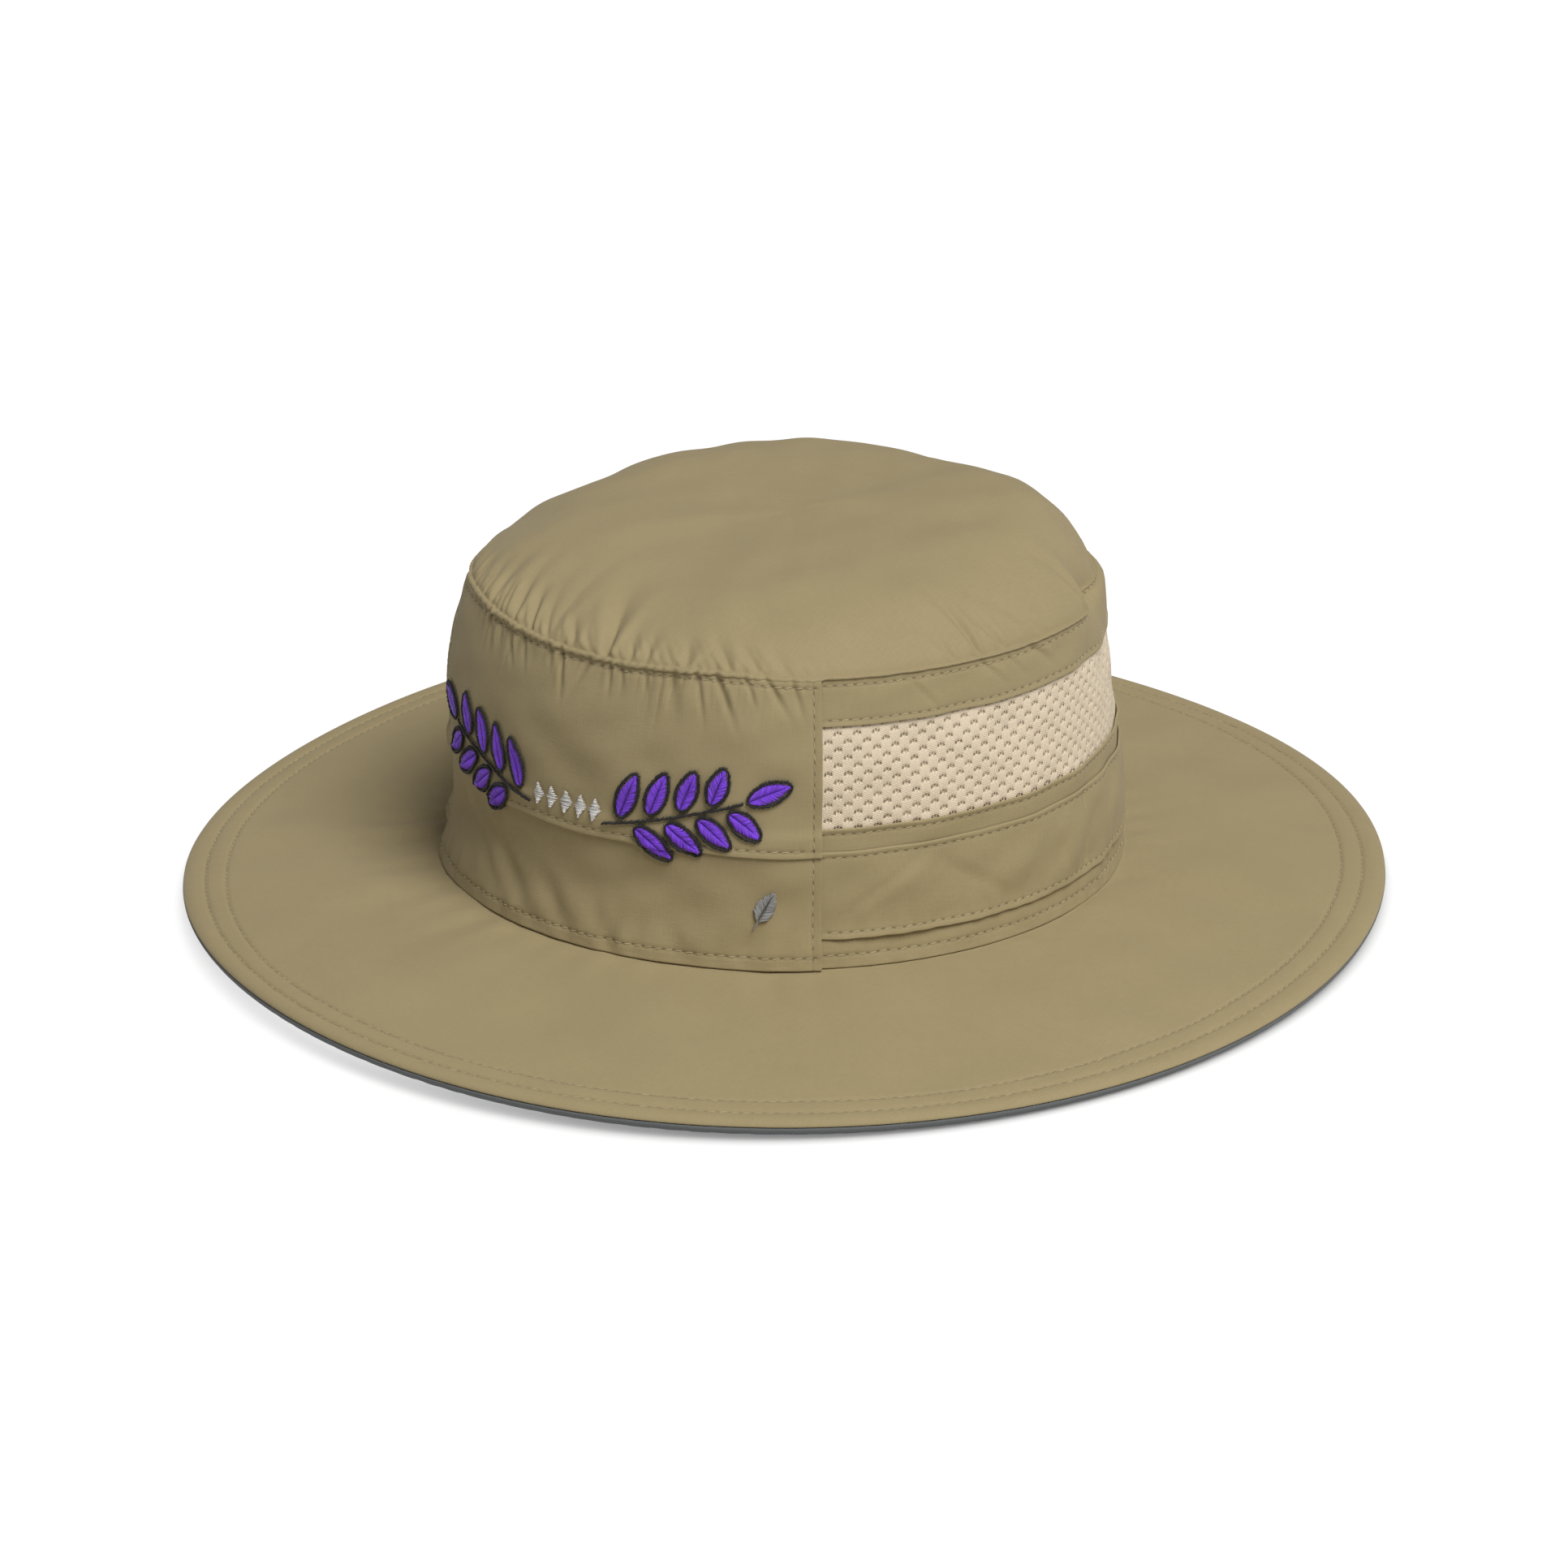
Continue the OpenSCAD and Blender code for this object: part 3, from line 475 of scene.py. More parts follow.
    def drawn_wall(self, s, o, t, out=0.0):
        """The wall without its small folds.

        At the right end of the tip seam the top is pushed in, and the yoke stands over it.
        """
        side = turned(t)
        over = smooth((side - 108) / 14) * (1 - smooth((side - 164) / 24))
        pushed = 4.4 * bell((side - PINCH) / 5.2) * smooth((s - 67.5) / 11) ** 1.4
        pushed = pushed + over * (1.4 * smooth((s - 54) / 14) + 2.8 * smooth((s - 73) / 4.5))
        p = self.plain_wall(s, o + out - pushed, t)
        rises = sum(high * bell((side - angle) / wide) for angle, wide, high in SEAM_RISES)
        p[..., 2] += rises * ramp(s / self.wall_h) ** 2 + 3.6 * over * bell((s - 74.5) / 3.2)
        return p

    def rise(self, t):
        return self.front_rise * ramp((np.abs(turned(t)) - SEAM + 21) / 12)

    def puff(self, t):
        return ramp((np.abs(turned(t)) - self.side_from) / 20)

    def band_swell(self, s):
        return self.band_puff * sin(180 * ramp((s - self.band_low) / (self.band_high - self.band_low)))

    def band(self, s, o, t):
        """A point of the cord band, which swells over its tunnel and stands off at its lower fold."""
        side = np.abs(turned(t))
        flare = (
            0.7 * bell((s - self.band_low) / 2.2) * ramp((side - SEAM) / 4)
            * (0.45 + 0.55 * bell((side - 60) / 14))
        )
        drags = 0.12 * hum(t + 0.12 * s, 60, 110, 17) * bell((s - self.band_low - 3) / 5)
        soft = 0.3 * hum(t - 0.6 * s, 12, 30, 19) * sin(180 * ramp((s - self.band_low) / 24)) * self.puff(t)
        tuck = (
            -0.8 * bell((side - TACK) * 1.6 / 0.6) * smooth((s - self.band_low - 1) / 3)
            * smooth((self.band_high - s) / 3)
        )
        rows = self.groove(s, t, ("band_top", "band_bottom"), 0.14, 0.6)
        return self.wall(
            s, o + self.puff(t) * self.band_swell(s) + flare + np.maximum(drags + soft, -0.1) + tuck + rows, t
        )

    def brim(self, a, h, t):
        """A point of the brim, which puffs up a little between its rows of stitches."""
        a, h, t = np.broadcast_arrays(*(np.asarray(x, float) for x in (a, h, t)))
        e = self.brim_run
        near = smooth((turned(t) + 50) / 34) * (1 - smooth((turned(t) - 50) / 50))
        upper = ramp(h / self.brim_t)
        side = 2 * upper - 1
        puffs = 0.32 * sin(180 * ramp((a - e + self.row_outer) / (self.row_outer + 1.5)))
        puffs = puffs + 0.26 * sin(180 * ramp((a - e + self.row_inner) / (self.row_inner - self.row_outer)))
        puckers = (
            0.07 * hum(t, 150, 330, 23)
            * (bell((a - e + self.row_outer) / 3) + bell((a - e + self.row_inner) / 3.5))
        )
        rows = self.groove(a, t, ("brim_outer", "brim_inner"), 0.34, 0.62)
        inner = 0.5 * hum(t + 0.02 * a, 5, 14, 29) * sin(180 * ramp(a / e)) ** 1.5
        drag = (
            0.22 * hum(t, 26, 60, 31)
            * (bell((a - 3) / 9) + 1.4 * bell((turned(t) + 50) / 40) * bell((a - 8) / 22)) * smooth(a / 4)
        )
        p = self.plain_brim(
            a + 3.2 * near * sin(180 * ramp((e - a) / 32)), h + side * (puffs + puckers + rows), t
        )
        soft = 0.28 * rumple(p[..., 0], p[..., 1], 26, 80, 33)
        p[..., 2] += (inner + drag + soft) * smooth((e - 8 - a) / 14) * smooth((a + 2) / 5)
        p[..., 2] = np.maximum(p[..., 2], 0.03)
        return p

    def piping(self, turn, t, inside=0.0):
        """Height and offset of the roll along the tip seam, from its upper crease, 0, to its lower one, 1."""
        side = smooth((np.abs(turned(t)) - SEAM + 0.6) / 1.6)
        around = 112 - 190 * turn
        twist = np.minimum(self.gathers(t), 1) * (1 - 0.7 * side)
        rope = 1 + 0.22 * twist * cos(214 * t + 130 * turn + 60 * hum(t, 3, 9, 41)) + 0.1 * hum(t, 40, 90, 42)
        r = (0.66 - 0.26 * side) * rope - inside
        middle_s = self.wall_h + 0.15 + 0.2 * side
        middle_o = self.front_out + 0.25 - 0.5 * side
        return middle_s + r * sin(around), middle_o + np.maximum(r, 0.05) * cos(around)

    def dome_rim(self, t):
        return self.wall(*self.piping(0.0, t), t)

    def dome(self, q, o, t):
        """A point of the top, q from its centre, 0, to the tip seam, 1."""
        q, o, t = np.broadcast_arrays(*(np.asarray(x, float) for x in (q, o, t)))
        rim, side = self.dome_rim(t), turned(t)
        line = self.drawn_wall(self.wall_h + RIDGE, self.front_out, t)
        fold = 0.0
        for angle, lean, reach, wide, deep in DOME_FOLDS:
            back = 1 - q
            d = turned(side - angle - lean * back / reach)
            w = wide * (0.42 + 1.2 * back / reach)
            body = (
                np.exp(-np.abs(d / w) ** 1.4) - 0.45 * bell((d - 2.0 * w) / w) - 0.3 * bell((d + 2.1 * w) / w)
            )
            fold = fold - 1.25 * deep * body * bell(back / reach * 1.2 - 0.2) * smooth(back / 0.015)
        pucker = (
            0.6 * self.gathers(t) * gather(hum(t + 50 * (1 - q), 60, 124, 8))
            * bell((1 - q) / (0.06 + 0.03 * hum(t, 20, 50, 9))) * smooth((1 - q) / 0.012)
        )
        pucker = pucker - 0.35 * bell((1 - q) / 0.012)
        # the whole top is slightly uneven, and its shoulder is pressed flat here and there
        x, y = q * sin(t), q * cos(t)
        soft = 0.3 * np.sin(5.1 * x + 1.3) * np.cos(4.3 * y - 0.6) + 0.2 * np.sin(8.3 * x - 5.7 * y + 0.4)
        soft = (
            soft + 0.3 * hum(t, 7, 15, 37) * bell((q - 0.87) / 0.13)
            + 0.2 * rumple(90 * x, 90 * y, 14, 45, 38)
        )
        o = (
            o + fold + pucker + soft * smooth((1 - q) / 0.15)
            - 0.9 * bell((side - 146) / 22) * sin(180 * ramp((1 - q) / 0.22))
        )
        plain = self.plain_wall(self.wall_h + RIDGE, self.front_out, t)
        near = q[..., None] ** 70
        away = (line - plain) * q[..., None] ** 9 * (1 - near) + (rim - plain) * near
        arm = np.stack([plain[..., 0], plain[..., 1] - self.tip_back, 0 * q], -1)
        reach = np.linalg.norm(arm, axis=-1)
        slope = np.arctan(
            self.dome_h * DOME_POWER * q ** (DOME_POWER - 1) / (self.tip_l / 4 + self.tip_w / 4)
        )
        lift = self.dome_h * (1 - q**DOME_POWER) * (1 + DOME_LEAN * q * cos(t)) - 1.4 * bell(q / 0.5)
        mid = self.crown_z + self.wall_h + RIDGE
        out = arm / reach[..., None] * (reach * q + o * np.sin(slope))[..., None]
        out[..., :2] += away[..., :2]
        out[..., 1] += self.tip_back
        out[..., 2] = (
            line[..., 2] * q + mid * (1 - q) + lift + o * np.cos(slope) + (rim - line)[..., 2] * near[..., 0]
        )
        return out

    def front_face(self, s, t):
        """Offset of the front panel's outside."""
        over = (
            smooth((s - self.front_split + 0.05) / 0.1) * (1 - smooth((s - self.front_split - SPLIT_LAP) / 3))
        )
        return self.front_out + over * (self.lap_out - self.front_out) + self.rise(t)

    def per_degree(self):
        """Millimetres of crown wall in one degree, about."""
        return math.pi / 360 * (self.crown_l + self.crown_w) / 2

    def side_span(self):
        """Length of the side plies round the crown, in metres."""
        return (360 - 2 * self.side_from) * self.per_degree() * MM

    def panel(self, x, y):
        """Height and angle of a point drawn on the front panel, x out from its middle and y up."""
        half = np.degrees(x / 2 / (self.crown_w / 2))
        step = np.hypot(self.crown_w / 2 * cos(half), self.crown_l / 2 * sin(half))
        return y, np.degrees(x / step)


def hat_form():
    return HatForm(bpy.context.scene.hat_sizes)


# ---- shaders ----------------------------------------------------------------
class Tone:
    """A shader socket that takes part in sums."""

    def __init__(self, finish, socket):
        self.finish, self.socket = finish, socket

    def _sum(self, operation, a, b):
        return self.finish.node("ShaderNodeMath", {"operation": operation}, {0: a, 1: b})

    def __add__(self, other):
        return self._sum("ADD", self, other)

    def __radd__(self, other):
        return self._sum("ADD", other, self)

    def __sub__(self, other):
        return self._sum("SUBTRACT", self, other)

    def __rsub__(self, other):
        return self._sum("SUBTRACT", other, self)

    def __mul__(self, other):
        return self._sum("MULTIPLY", self, other)

    def __rmul__(self, other):
        return self._sum("MULTIPLY", other, self)

    def __truediv__(self, other):
        return self._sum("DIVIDE", self, other)

    def __pow__(self, other):
        return self._sum("POWER", self, other)

    def _alone(self, operation):
        return self.finish.node("ShaderNodeMath", {"operation": operation}, {0: self})

    def clip(self):
        return self.finish.node("ShaderNodeClamp", {}, {0: self})

    def sine(self):
        return self._alone("SINE")

    def part(self):
        return self._alone("FRACT")

    def size(self):
        return self._alone("ABSOLUTE")


class Finish:
    """A material, built node by node."""

    def __init__(self, name):
        self.material = bpy.data.materials.new(name)
        self.material.use_nodes = True
        self.nodes, self.links = self.material.node_tree.nodes, self.material.node_tree.links
        self.nodes.clear()

    def node(self, kind, settings, values, out=0):
        """Adds a node, its settings first and then its sockets' values or links, and returns one output."""
        made = self.nodes.new(kind)
        for key, value in settings.items():
            if key == "stops":
                for i, (place, shade) in enumerate(value):
                    stop = made.color_ramp.elements[i] if i < 2 else made.color_ramp.elements.new(place)
                    stop.position, stop.color = place, (shade, shade, shade, 1)
            else:
                setattr(made, key, value)
        for key, value in values.items():
            if isinstance(value, Tone):
                self.links.new(value.socket, made.inputs[key])
            else:
                made.inputs[key].default_value = value
        return Tone(self, made.outputs[out]) if len(made.outputs) else None

    def uv(self, name="UVMap"):
        """The named map's two numbers."""
        both = self.node("ShaderNodeUVMap", {"uv_map": name}, {})
        split = self.node("ShaderNodeSeparateXYZ", {}, {0: both})
        return split, Tone(self, split.socket.node.outputs[1])

    def cloth_uv(self):
        """The cloth map's two numbers, in millimetres."""
        u, v = self.uv()
        return u * 1000.0, v * 1000.0

    def place(self):
        """The point on the hat, in metres."""
        return self.node("ShaderNodeTexCoord", {}, {}, "Object")

    def point(self, x, y, z=0.0):
        return self.node("ShaderNodeCombineXYZ", {}, {0: x, 1: y, 2: z})

    def noise(self, point, scale, detail=2.0, rough=0.5):
        return self.node(
            "ShaderNodeTexNoise", {}, {"Vector": point, "Scale": scale, "Detail": detail, "Roughness": rough}
        )

    def grey(self, amount):
        return self.node("ShaderNodeCombineColor", {}, {0: amount, 1: amount, 2: amount})

    def shade(self, colour, amount):
        """A colour made darker or lighter by a factor that may vary."""
        multiply = {"data_type": "RGBA", "blend_type": "MULTIPLY"}
        return self.node("ShaderNodeMix", multiply, {0: 1.0, 6: colour, 7: self.grey(amount)}, 2)

    def bump(self, height, distance, strength=1.0, under=None):
        values = {"Height": height, "Distance": distance, "Strength": strength}
        if under is not None:
            values["Normal"] = under
        return self.node("ShaderNodeBump", {}, values)

    def surface(self, values):
        """Ends the material in one Principled shader."""
        shader = self.node("ShaderNodeBsdfPrincipled", {}, values)
        self.node("ShaderNodeOutputMaterial", {}, {0: shader})
        return self.material


def rgba(colour):
    return (*colour, 1.0)


def needle_shade_marks(form, along, off, mask, deep=0.62):
    """Adds one row's painted shade: a dark dash in the needle hole where the thread dives, on a faint drawn-in
    line.
    """
    away = (along.size() - form.stitch_len / 2) / 0.58
    hole = (1.0 - (away**2.0 + (off / 0.23) ** 2.0) * 0.6).clip()
    line = (1.0 - (off / 0.6) ** 2.0).clip() * 0.14
    marks = hole * deep + line
    return marks if mask is None else mask + marks


def sewn_rows(f, form, names, columns=()):
    """A mask of the named rows' needle holes, for their bump and their painted shade, and of the stitches' own
    painted shadow.
    """
    turn, height = f.uv("Rows")
    height = height * ROW_MAP
    mask = None
    for name in names:
        at, spans, n = form.rows[name]
        along = ((turn * float(n)).part() - 0.5) * form.stitch_len
        mask = needle_shade_marks(form, along, height - at, mask, 0.3 if name.startswith("brim") else 0.62)
    for angle in columns:
        across = (turn - angle / 360.0) * (360 * form.per_degree())
        along = ((height / form.stitch_len).part() - 0.5) * form.stitch_len
        mask = needle_shade_marks(form, along, across, mask)
    return mask


def poplin(name, colour, form, rows=(), columns=()):
    """Fine plain-weave cloth: crossing yarns, slubs, a soft mottling and needle holes along its seams, dented
    and darkened with painted shade.
    """
    f = Finish(name)
    u, v = f.cloth_uv()
    warp = f.noise(f.point(u * 2.6, v * 0.22), 1.0, 2.0)
    weft = f.noise(f.point(u * 0.22, v * 2.6), 1.0, 2.0)
    mottle = f.noise(f.point(u * 0.055, v * 0.055), 1.0, 4.0, 0.6)
    grain = f.noise(f.point(u * 1.5, v * 1.5), 1.0, 2.0)
    weave = (u * (2 * math.pi / 0.42)).sine() * (v * (2 * math.pi / 0.46)).sine()
    amount = 1.0 + (warp - 0.5) * 0.13 + (weft - 0.5) * 0.10 + (mottle - 0.5) * 0.10 + (grain - 0.5) * 0.06
    height = (warp + weft) * 0.5 + weave * 0.16
    if rows or columns:
        holes = sewn_rows(f, form, rows, columns)
        # painted shade: the needle holes and drawn-in lines darken the colour, and the same mask dents the
        # bump
        amount = amount * (1.0 - holes * 0.62)
        height = height - holes * 1.2
    rough = 0.78 + (warp - 0.5) * 0.12 + (mottle - 0.5) * 0.1
    return f.surface({
        "Base Color": f.shade(rgba(colour), amount),
        "Roughness": rough, "Specular IOR Level": 0.3,
        "Sheen Weight": 0.12, "Sheen Roughness": 0.45, "Sheen Tint": (1.0, 0.96, 0.88, 1.0),
        "Normal": f.bump(height, 0.00022, 0.55),
    })


def knit(name, colour):
    """Warp-knitted mesh yarn: small slanted loops in rows."""
    f = Finish(name)
    u, v = f.cloth_uv()
    loops = ((v + u * 0.45) * (2 * math.pi / 0.62)).sine()
    wales = ((u - v * 0.3) * (2 * math.pi / 0.55)).sine()
    fuzz = f.noise(f.point(u * 2.4, v * 2.4), 1.0, 3.0)
    height = loops * 0.22 + wales * 0.25 + fuzz * 1.4
    amount = 1.0 + loops * 0.04 + wales * 0.03 + (fuzz - 0.5) * 0.2
    return f.surface({
        "Base Color": f.shade(rgba(colour), amount),
        "Roughness": 0.72 + (fuzz - 0.5) * 0.2, "Specular IOR Level": 0.35,
        "Sheen Weight": 0.15, "Sheen Roughness": 0.4, "Normal": f.bump(height, 0.0002, 0.5),
    })


def painted_shade_vent_knit(name, colour):
    """Inner face of the knit, seen through its holes, with dark patches of painted shade for the hat's inside
    seen through them.
    """
    f = Finish(name)
    point = f.point(*f.cloth_uv())
    cloud = f.noise(point, 0.16, 2.0)
    speck = f.noise(point, 0.9, 2.0)
    # painted shade: the cloud's dark patches stand for the shaded inside of the hat
    amount = ((cloud - 0.36) * 3.0 + (speck - 0.5) * 1.2).clip() * 0.34 + 0.58
    return f.surface({
        "Base Color": f.shade(rgba(colour), amount),
        "Roughness": 0.75 + speck * 0.2, "Specular IOR Level": 0.25,
    })


def spun(name, colour, shine, tones=0.2, pitch=0.16):
    """Thread: twisted plies along each strand and a tone that differs from strand to strand."""
    f = Finish(name)
    u, v = f.uv()
    twist = ((u * 1000.0 + v * 0.5) * (2 * math.pi / pitch / 2.2)).sine()
    strand = f.node("ShaderNodeAttribute", {"attribute_name": "tone"}, {}, "Fac")
    fuzz = f.noise(f.place(), 2600.0, 3.0)
    amount = 1.0 + (strand - 0.5) * tones * 2.0 + twist * 0.07 + (fuzz - 0.5) * 0.2
    return f.surface({
        "Base Color": f.shade(rgba(colour), amount),
        "Roughness": (1.0 - shine) + (fuzz - 0.5) * 0.2, "Specular IOR Level": 0.5,
        "Sheen Weight": 0.1, "Normal": f.bump(twist + fuzz, 0.00006, 0.5),
    })


def twill(name, colour, pitch=0.9, deep=0.35):
    """Tape or soft band: slanting ribs over a fine grain."""
    f = Finish(name)
    u, v = f.cloth_uv()
    rib = ((u + v) * (2 * math.pi / pitch)).sine()
    cross = (u * (2 * math.pi / 0.4)).sine()
    grain = f.noise(f.point(u * 2.0, v * 2.0), 1.0, 3.0)
    amount = 1.0 + rib * deep * 0.2 + (grain - 0.5) * 0.25 + cross * 0.03
    return f.surface({
        "Base Color": f.shade(rgba(colour), amount),
        "Roughness": 0.85 + (grain - 0.5) * 0.15, "Specular IOR Level": 0.3,
        "Sheen Weight": 0.2, "Normal": f.bump(rib * deep + cross * 0.3 + grain, 0.0002, 0.5),
    })


def cells(name, colour):
    """Closed-cell foam or pressed fibre."""
    f = Finish(name)
    point = f.place()
    pores = f.node("ShaderNodeTexVoronoi", {"feature": "F1"}, {"Vector": point, "Scale": 1400.0})
    cloud = f.noise(point, 180.0, 4.0)
    amount = 0.9 + pores * 0.16 + (cloud - 0.5) * 0.16
    return f.surface({
        "Base Color": f.shade(rgba(colour), amount),
        "Roughness": 0.9 + (cloud - 0.5) * 0.1, "Specular IOR Level": 0.25,
        "Normal": f.bump(pores + cloud, 0.0002, 0.4),
    })


def antiqued(name, colour):
    """Rolled metal, darker and duller in patches, with fine rubbed lines."""
    f = Finish(name)
    point = f.place()
    cloud = f.noise(point, 700.0, 4.0, 0.6)
    lines = f.noise(point, 5200.0, 2.0)
    amount = 0.72 + cloud * 0.5 + (lines - 0.5) * 0.12
    return f.surface({
        "Base Color": f.shade(rgba(colour), amount),
        "Metallic": 0.86 + cloud * 0.12, "Roughness": 0.30 + cloud * 0.26,
        "Normal": f.bump(lines + cloud, 0.00005, 0.35),
    })


# ---- making meshes ----------------------------------------------------------
def alone(obj=None):
    """Deselects everything, then selects one object."""
    bpy.ops.object.select_all(action="DESELECT")
    if obj is not None:
        obj.select_set(True)
        bpy.context.view_layer.objects.active = obj


def signed_volume(mesh):
    mesh.calc_loop_triangles()
    co = np.empty(len(mesh.vertices) * 3, np.float32)
    mesh.vertices.foreach_get("co", co)
    tri = np.empty(len(mesh.loop_triangles) * 3, np.int32)
    mesh.loop_triangles.foreach_get("vertices", tri)
    a, b, c = (co.reshape(-1, 3)[tri.reshape(-1, 3)[:, i]].astype(float) for i in range(3))
    return (a * np.cross(b, c)).sum() / 6


def finish_mesh(obj, merge=1e-6):
    """Merges doubles, turns the faces outwards and smooths the shading."""
    alone(obj)
    if merge:
        bpy.ops.object.mode_set(mode="EDIT")
        bpy.ops.mesh.select_all(action="SELECT")
        bpy.ops.mesh.remove_doubles(threshold=merge)
        bpy.ops.mesh.delete_loose()
        bpy.ops.object.mode_set(mode="OBJECT")
    if signed_volume(obj.data) < 0:
        obj.data.flip_normals()
    bpy.ops.object.shade_smooth()
    return obj


def draped_grid(name, points, uv, rows):
    """A grid of faces through points (rows, columns, xyz) in mm, with its cloth map and its map of rows."""
    ny, nx = points.shape[0] - 1, points.shape[1] - 1
    alone()
    bpy.ops.mesh.primitive_grid_add(x_subdivisions=nx, y_subdivisions=ny, size=2, location=(0, 0, 0))
    obj = bpy.context.object
    obj.name = obj.data.name = name
    mesh = obj.data
    co = np.empty(len(mesh.vertices) * 3, np.float32)
    mesh.vertices.foreach_get("co", co)
    co = co.reshape(-1, 3)
    i = np.rint((co[:, 0] + 1) / 2 * nx).astype(int)
    j = np.rint((co[:, 1] + 1) / 2 * ny).astype(int)
    mesh.vertices.foreach_set("co", (points[j, i] * MM).astype(np.float32).ravel())
    corner = np.empty(len(mesh.loops), np.int32)
    mesh.loops.foreach_get("vertex_index", corner)
    for layer, values in (("UVMap", uv), ("Rows", rows)):
        layer = mesh.uv_layers.get(layer) or mesh.uv_layers.new(name=layer)
        layer.data.foreach_set("uv", values[j[corner], i[corner]].astype(np.float32).ravel())
    mesh.update()
    return obj


def rounding(distance, radius):
    """Share of the full thickness at a distance from an edge of that radius."""
    x = ramp(distance / max(radius, 1e-3))
    return np.sqrt(1 - (1 - x) ** 2)


def cloth(name, top, low, angles, heights, closed=False, edges=(0.3, 0.3), ends=0.3, flat=False):
    """A cloth between two faces, given as points (rows, angles, xyz). Its edges and ends are rounded off."""
    mid, half = (top + low) / 2, (top - low) / 2
    run = np.linalg.norm(np.diff(mid[:, :1], axis=0), axis=-1)
    along = np.concatenate([[0], np.cumsum(run)])[:, None]
    share = (1.0 if edges[0] is None else rounding(along, edges[0])) * rounding(along[-1] - along, edges[1])
    if not closed:
        step = np.linalg.norm(np.diff(mid[len(mid) // 2], axis=0), axis=-1)
        across = np.concatenate([[0], np.cumsum(step)])[None, :]
        share = share * rounding(across, ends) * rounding(across[0, -1] - across, ends)
    top, low = mid + half * share[..., None], mid - half * share[..., None]
    points = np.concatenate([top, low[::-1], top[:1]])
    angles, heights = np.asarray(angles, float), np.asarray(heights, float)
    if closed:
        points = np.concatenate([points, points[:, :1]], axis=1)
        angles = np.append(angles, angles[0] + 360)
        along = np.repeat(along, len(angles), axis=1)
    up = np.concatenate([heights, heights[::-1], heights[:1]])
    rows = np.stack(np.broadcast_arrays(angles[None, :] / 360, up[:, None] / ROW_MAP), -1)
    if flat:
        uv = points[..., :2] * MM
    else:
        around = angles * (math.pi / 360 * MAP_RADIUS)
        uv = np.stack(np.broadcast_arrays(around[None, :] * 2 * MM, up[:, None] * MM), -1)
    return finish_mesh(draped_grid(name, points, uv, rows))


def wall_cloth(form, name, s, out, inn, t, closed=False, place=None, **edges):
    """A cloth on the crown's wall, at heights s and angles t, from offset inn to offset out."""
    place, up = place or form.wall, s[:, None]
    return cloth(name, place(up, out, t), place(up, inn, t), t, s, closed, **edges)


def levels(low, high, step, fine=(), folds=(True, True)):
    """Heights from low to high, closer together at folded edges and at rows of stitches."""
    close = [0.04, 0.1, 0.19, 0.31, 0.46, 0.65, 0.95, 1.4]
    marks = set(np.linspace(low, high, max(2, int(round((high - low) / step)) + 1)))
    if folds[0]:
        marks |= {low + x for x in close}
    if folds[1]:
        marks |= {high - x for x in close}
    for f in fine:
        marks |= {f + x for x in (-1.5, -1.0, -0.65, -0.35, 0, 0.35, 0.65, 1.0, 1.5)}
    inside = sorted(x for x in marks if low <= x <= high)
    kept = [inside[0]]
    for x in inside[1:-1]:
        if x - kept[-1] > 0.035 and inside[-1] - x > 0.035:
            kept.append(x)
    return np.array(kept + [inside[-1]])


def sweep_angles(start, stop, step, fold=True):
    """Angles from start to stop, closer together at folded ends."""
    inner = list(np.linspace(start, stop, int(round((stop - start) / step)) + 1))
    if fold:
        close = (0.025, 0.06, 0.115, 0.19, 0.28, 0.4)
        inner += [start + x for x in close] + [stop - x for x in close]
    return np.array(sorted(set(inner)))


def ring_angles(step, fine=None, fine_step=0.3):
    """Angles all round, closer together between the two given."""
    if fine is None:
        return np.arange(0, 360, step) - 180.0
    a, b = fine
    return np.concatenate([
        np.linspace(-180, a, int((a + 180) / step) + 1)[:-1],
        np.linspace(a, b, int((b - a) / fine_step) + 1)[:-1],
        np.linspace(b, 180, int((180 - b) / step) + 1)[:-1],
    ])


def fold_roll(distance, proud=0.22, width=1.1):
    """How far a folded edge stands proud at a distance from the fold."""
    return proud * bell((distance - 0.35) / width)


def dress(obj, material, slot, *nodes):
    """Gives a piece its material and its body, and hides the frame nodes that it stands for. The slot is not
    used.
    """
    obj.data.materials.clear()
    obj.data.materials.append(material)
    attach(obj, BODY)
    if nodes:
        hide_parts(*nodes)
    return obj


def quads(vertices, faces, name, uv=None, tone=None):
    """A mesh object from arrays of points in mm and of faces."""
    used = np.unique(np.concatenate([np.asarray(f) for f in faces]))
    if len(used) < len(vertices):
        place = np.full(len(vertices), -1)
        place[used] = np.arange(len(used))
        vertices, faces = vertices[used], [[place[v] for v in f] for f in faces]
        uv, tone = (None if x is None else x[used] for x in (uv, tone))
    mesh = bpy.data.meshes.new(name)
    mesh.from_pydata((vertices * MM).tolist(), [], faces)
    obj = bpy.data.objects.new(name, mesh)
    bpy.context.scene.collection.objects.link(obj)
    if uv is not None:
        corner = np.empty(len(mesh.loops), np.int32)
        mesh.loops.foreach_get("vertex_index", corner)
        mesh.uv_layers.new(name="UVMap").data.foreach_set("uv", uv[corner].astype(np.float32).ravel())
    if tone is not None:
        mesh.attributes.new("tone", "FLOAT", "POINT").data.foreach_set("value", tone.astype(np.float32))
    mesh.update()
    return obj


def stitch_pattern():
    """One stitch, modelled once: a short bead of thread along X, 1 long, 1 wide and 1 high."""
    alone()
    bpy.ops.mesh.primitive_uv_sphere_add(
        segments=6, ring_count=6, radius=0.5, location=(0, 0, 0), rotation=(0, math.pi / 2, 0)
    )
    obj = bpy.context.object
    bpy.ops.object.transform_apply(location=True, rotation=True, scale=True)
    co = np.array([v.co for v in obj.data.vertices])
    co[:, 1:] *= (1 + 0.35 * (0.25 - co[:, :1] ** 2) * 4) / 1.35 * 1.1
    faces = sorted(list(p.vertices) for p in obj.data.polygons)  # a sphere's faces come in any order
    bpy.data.objects.remove(obj)
    return co, faces


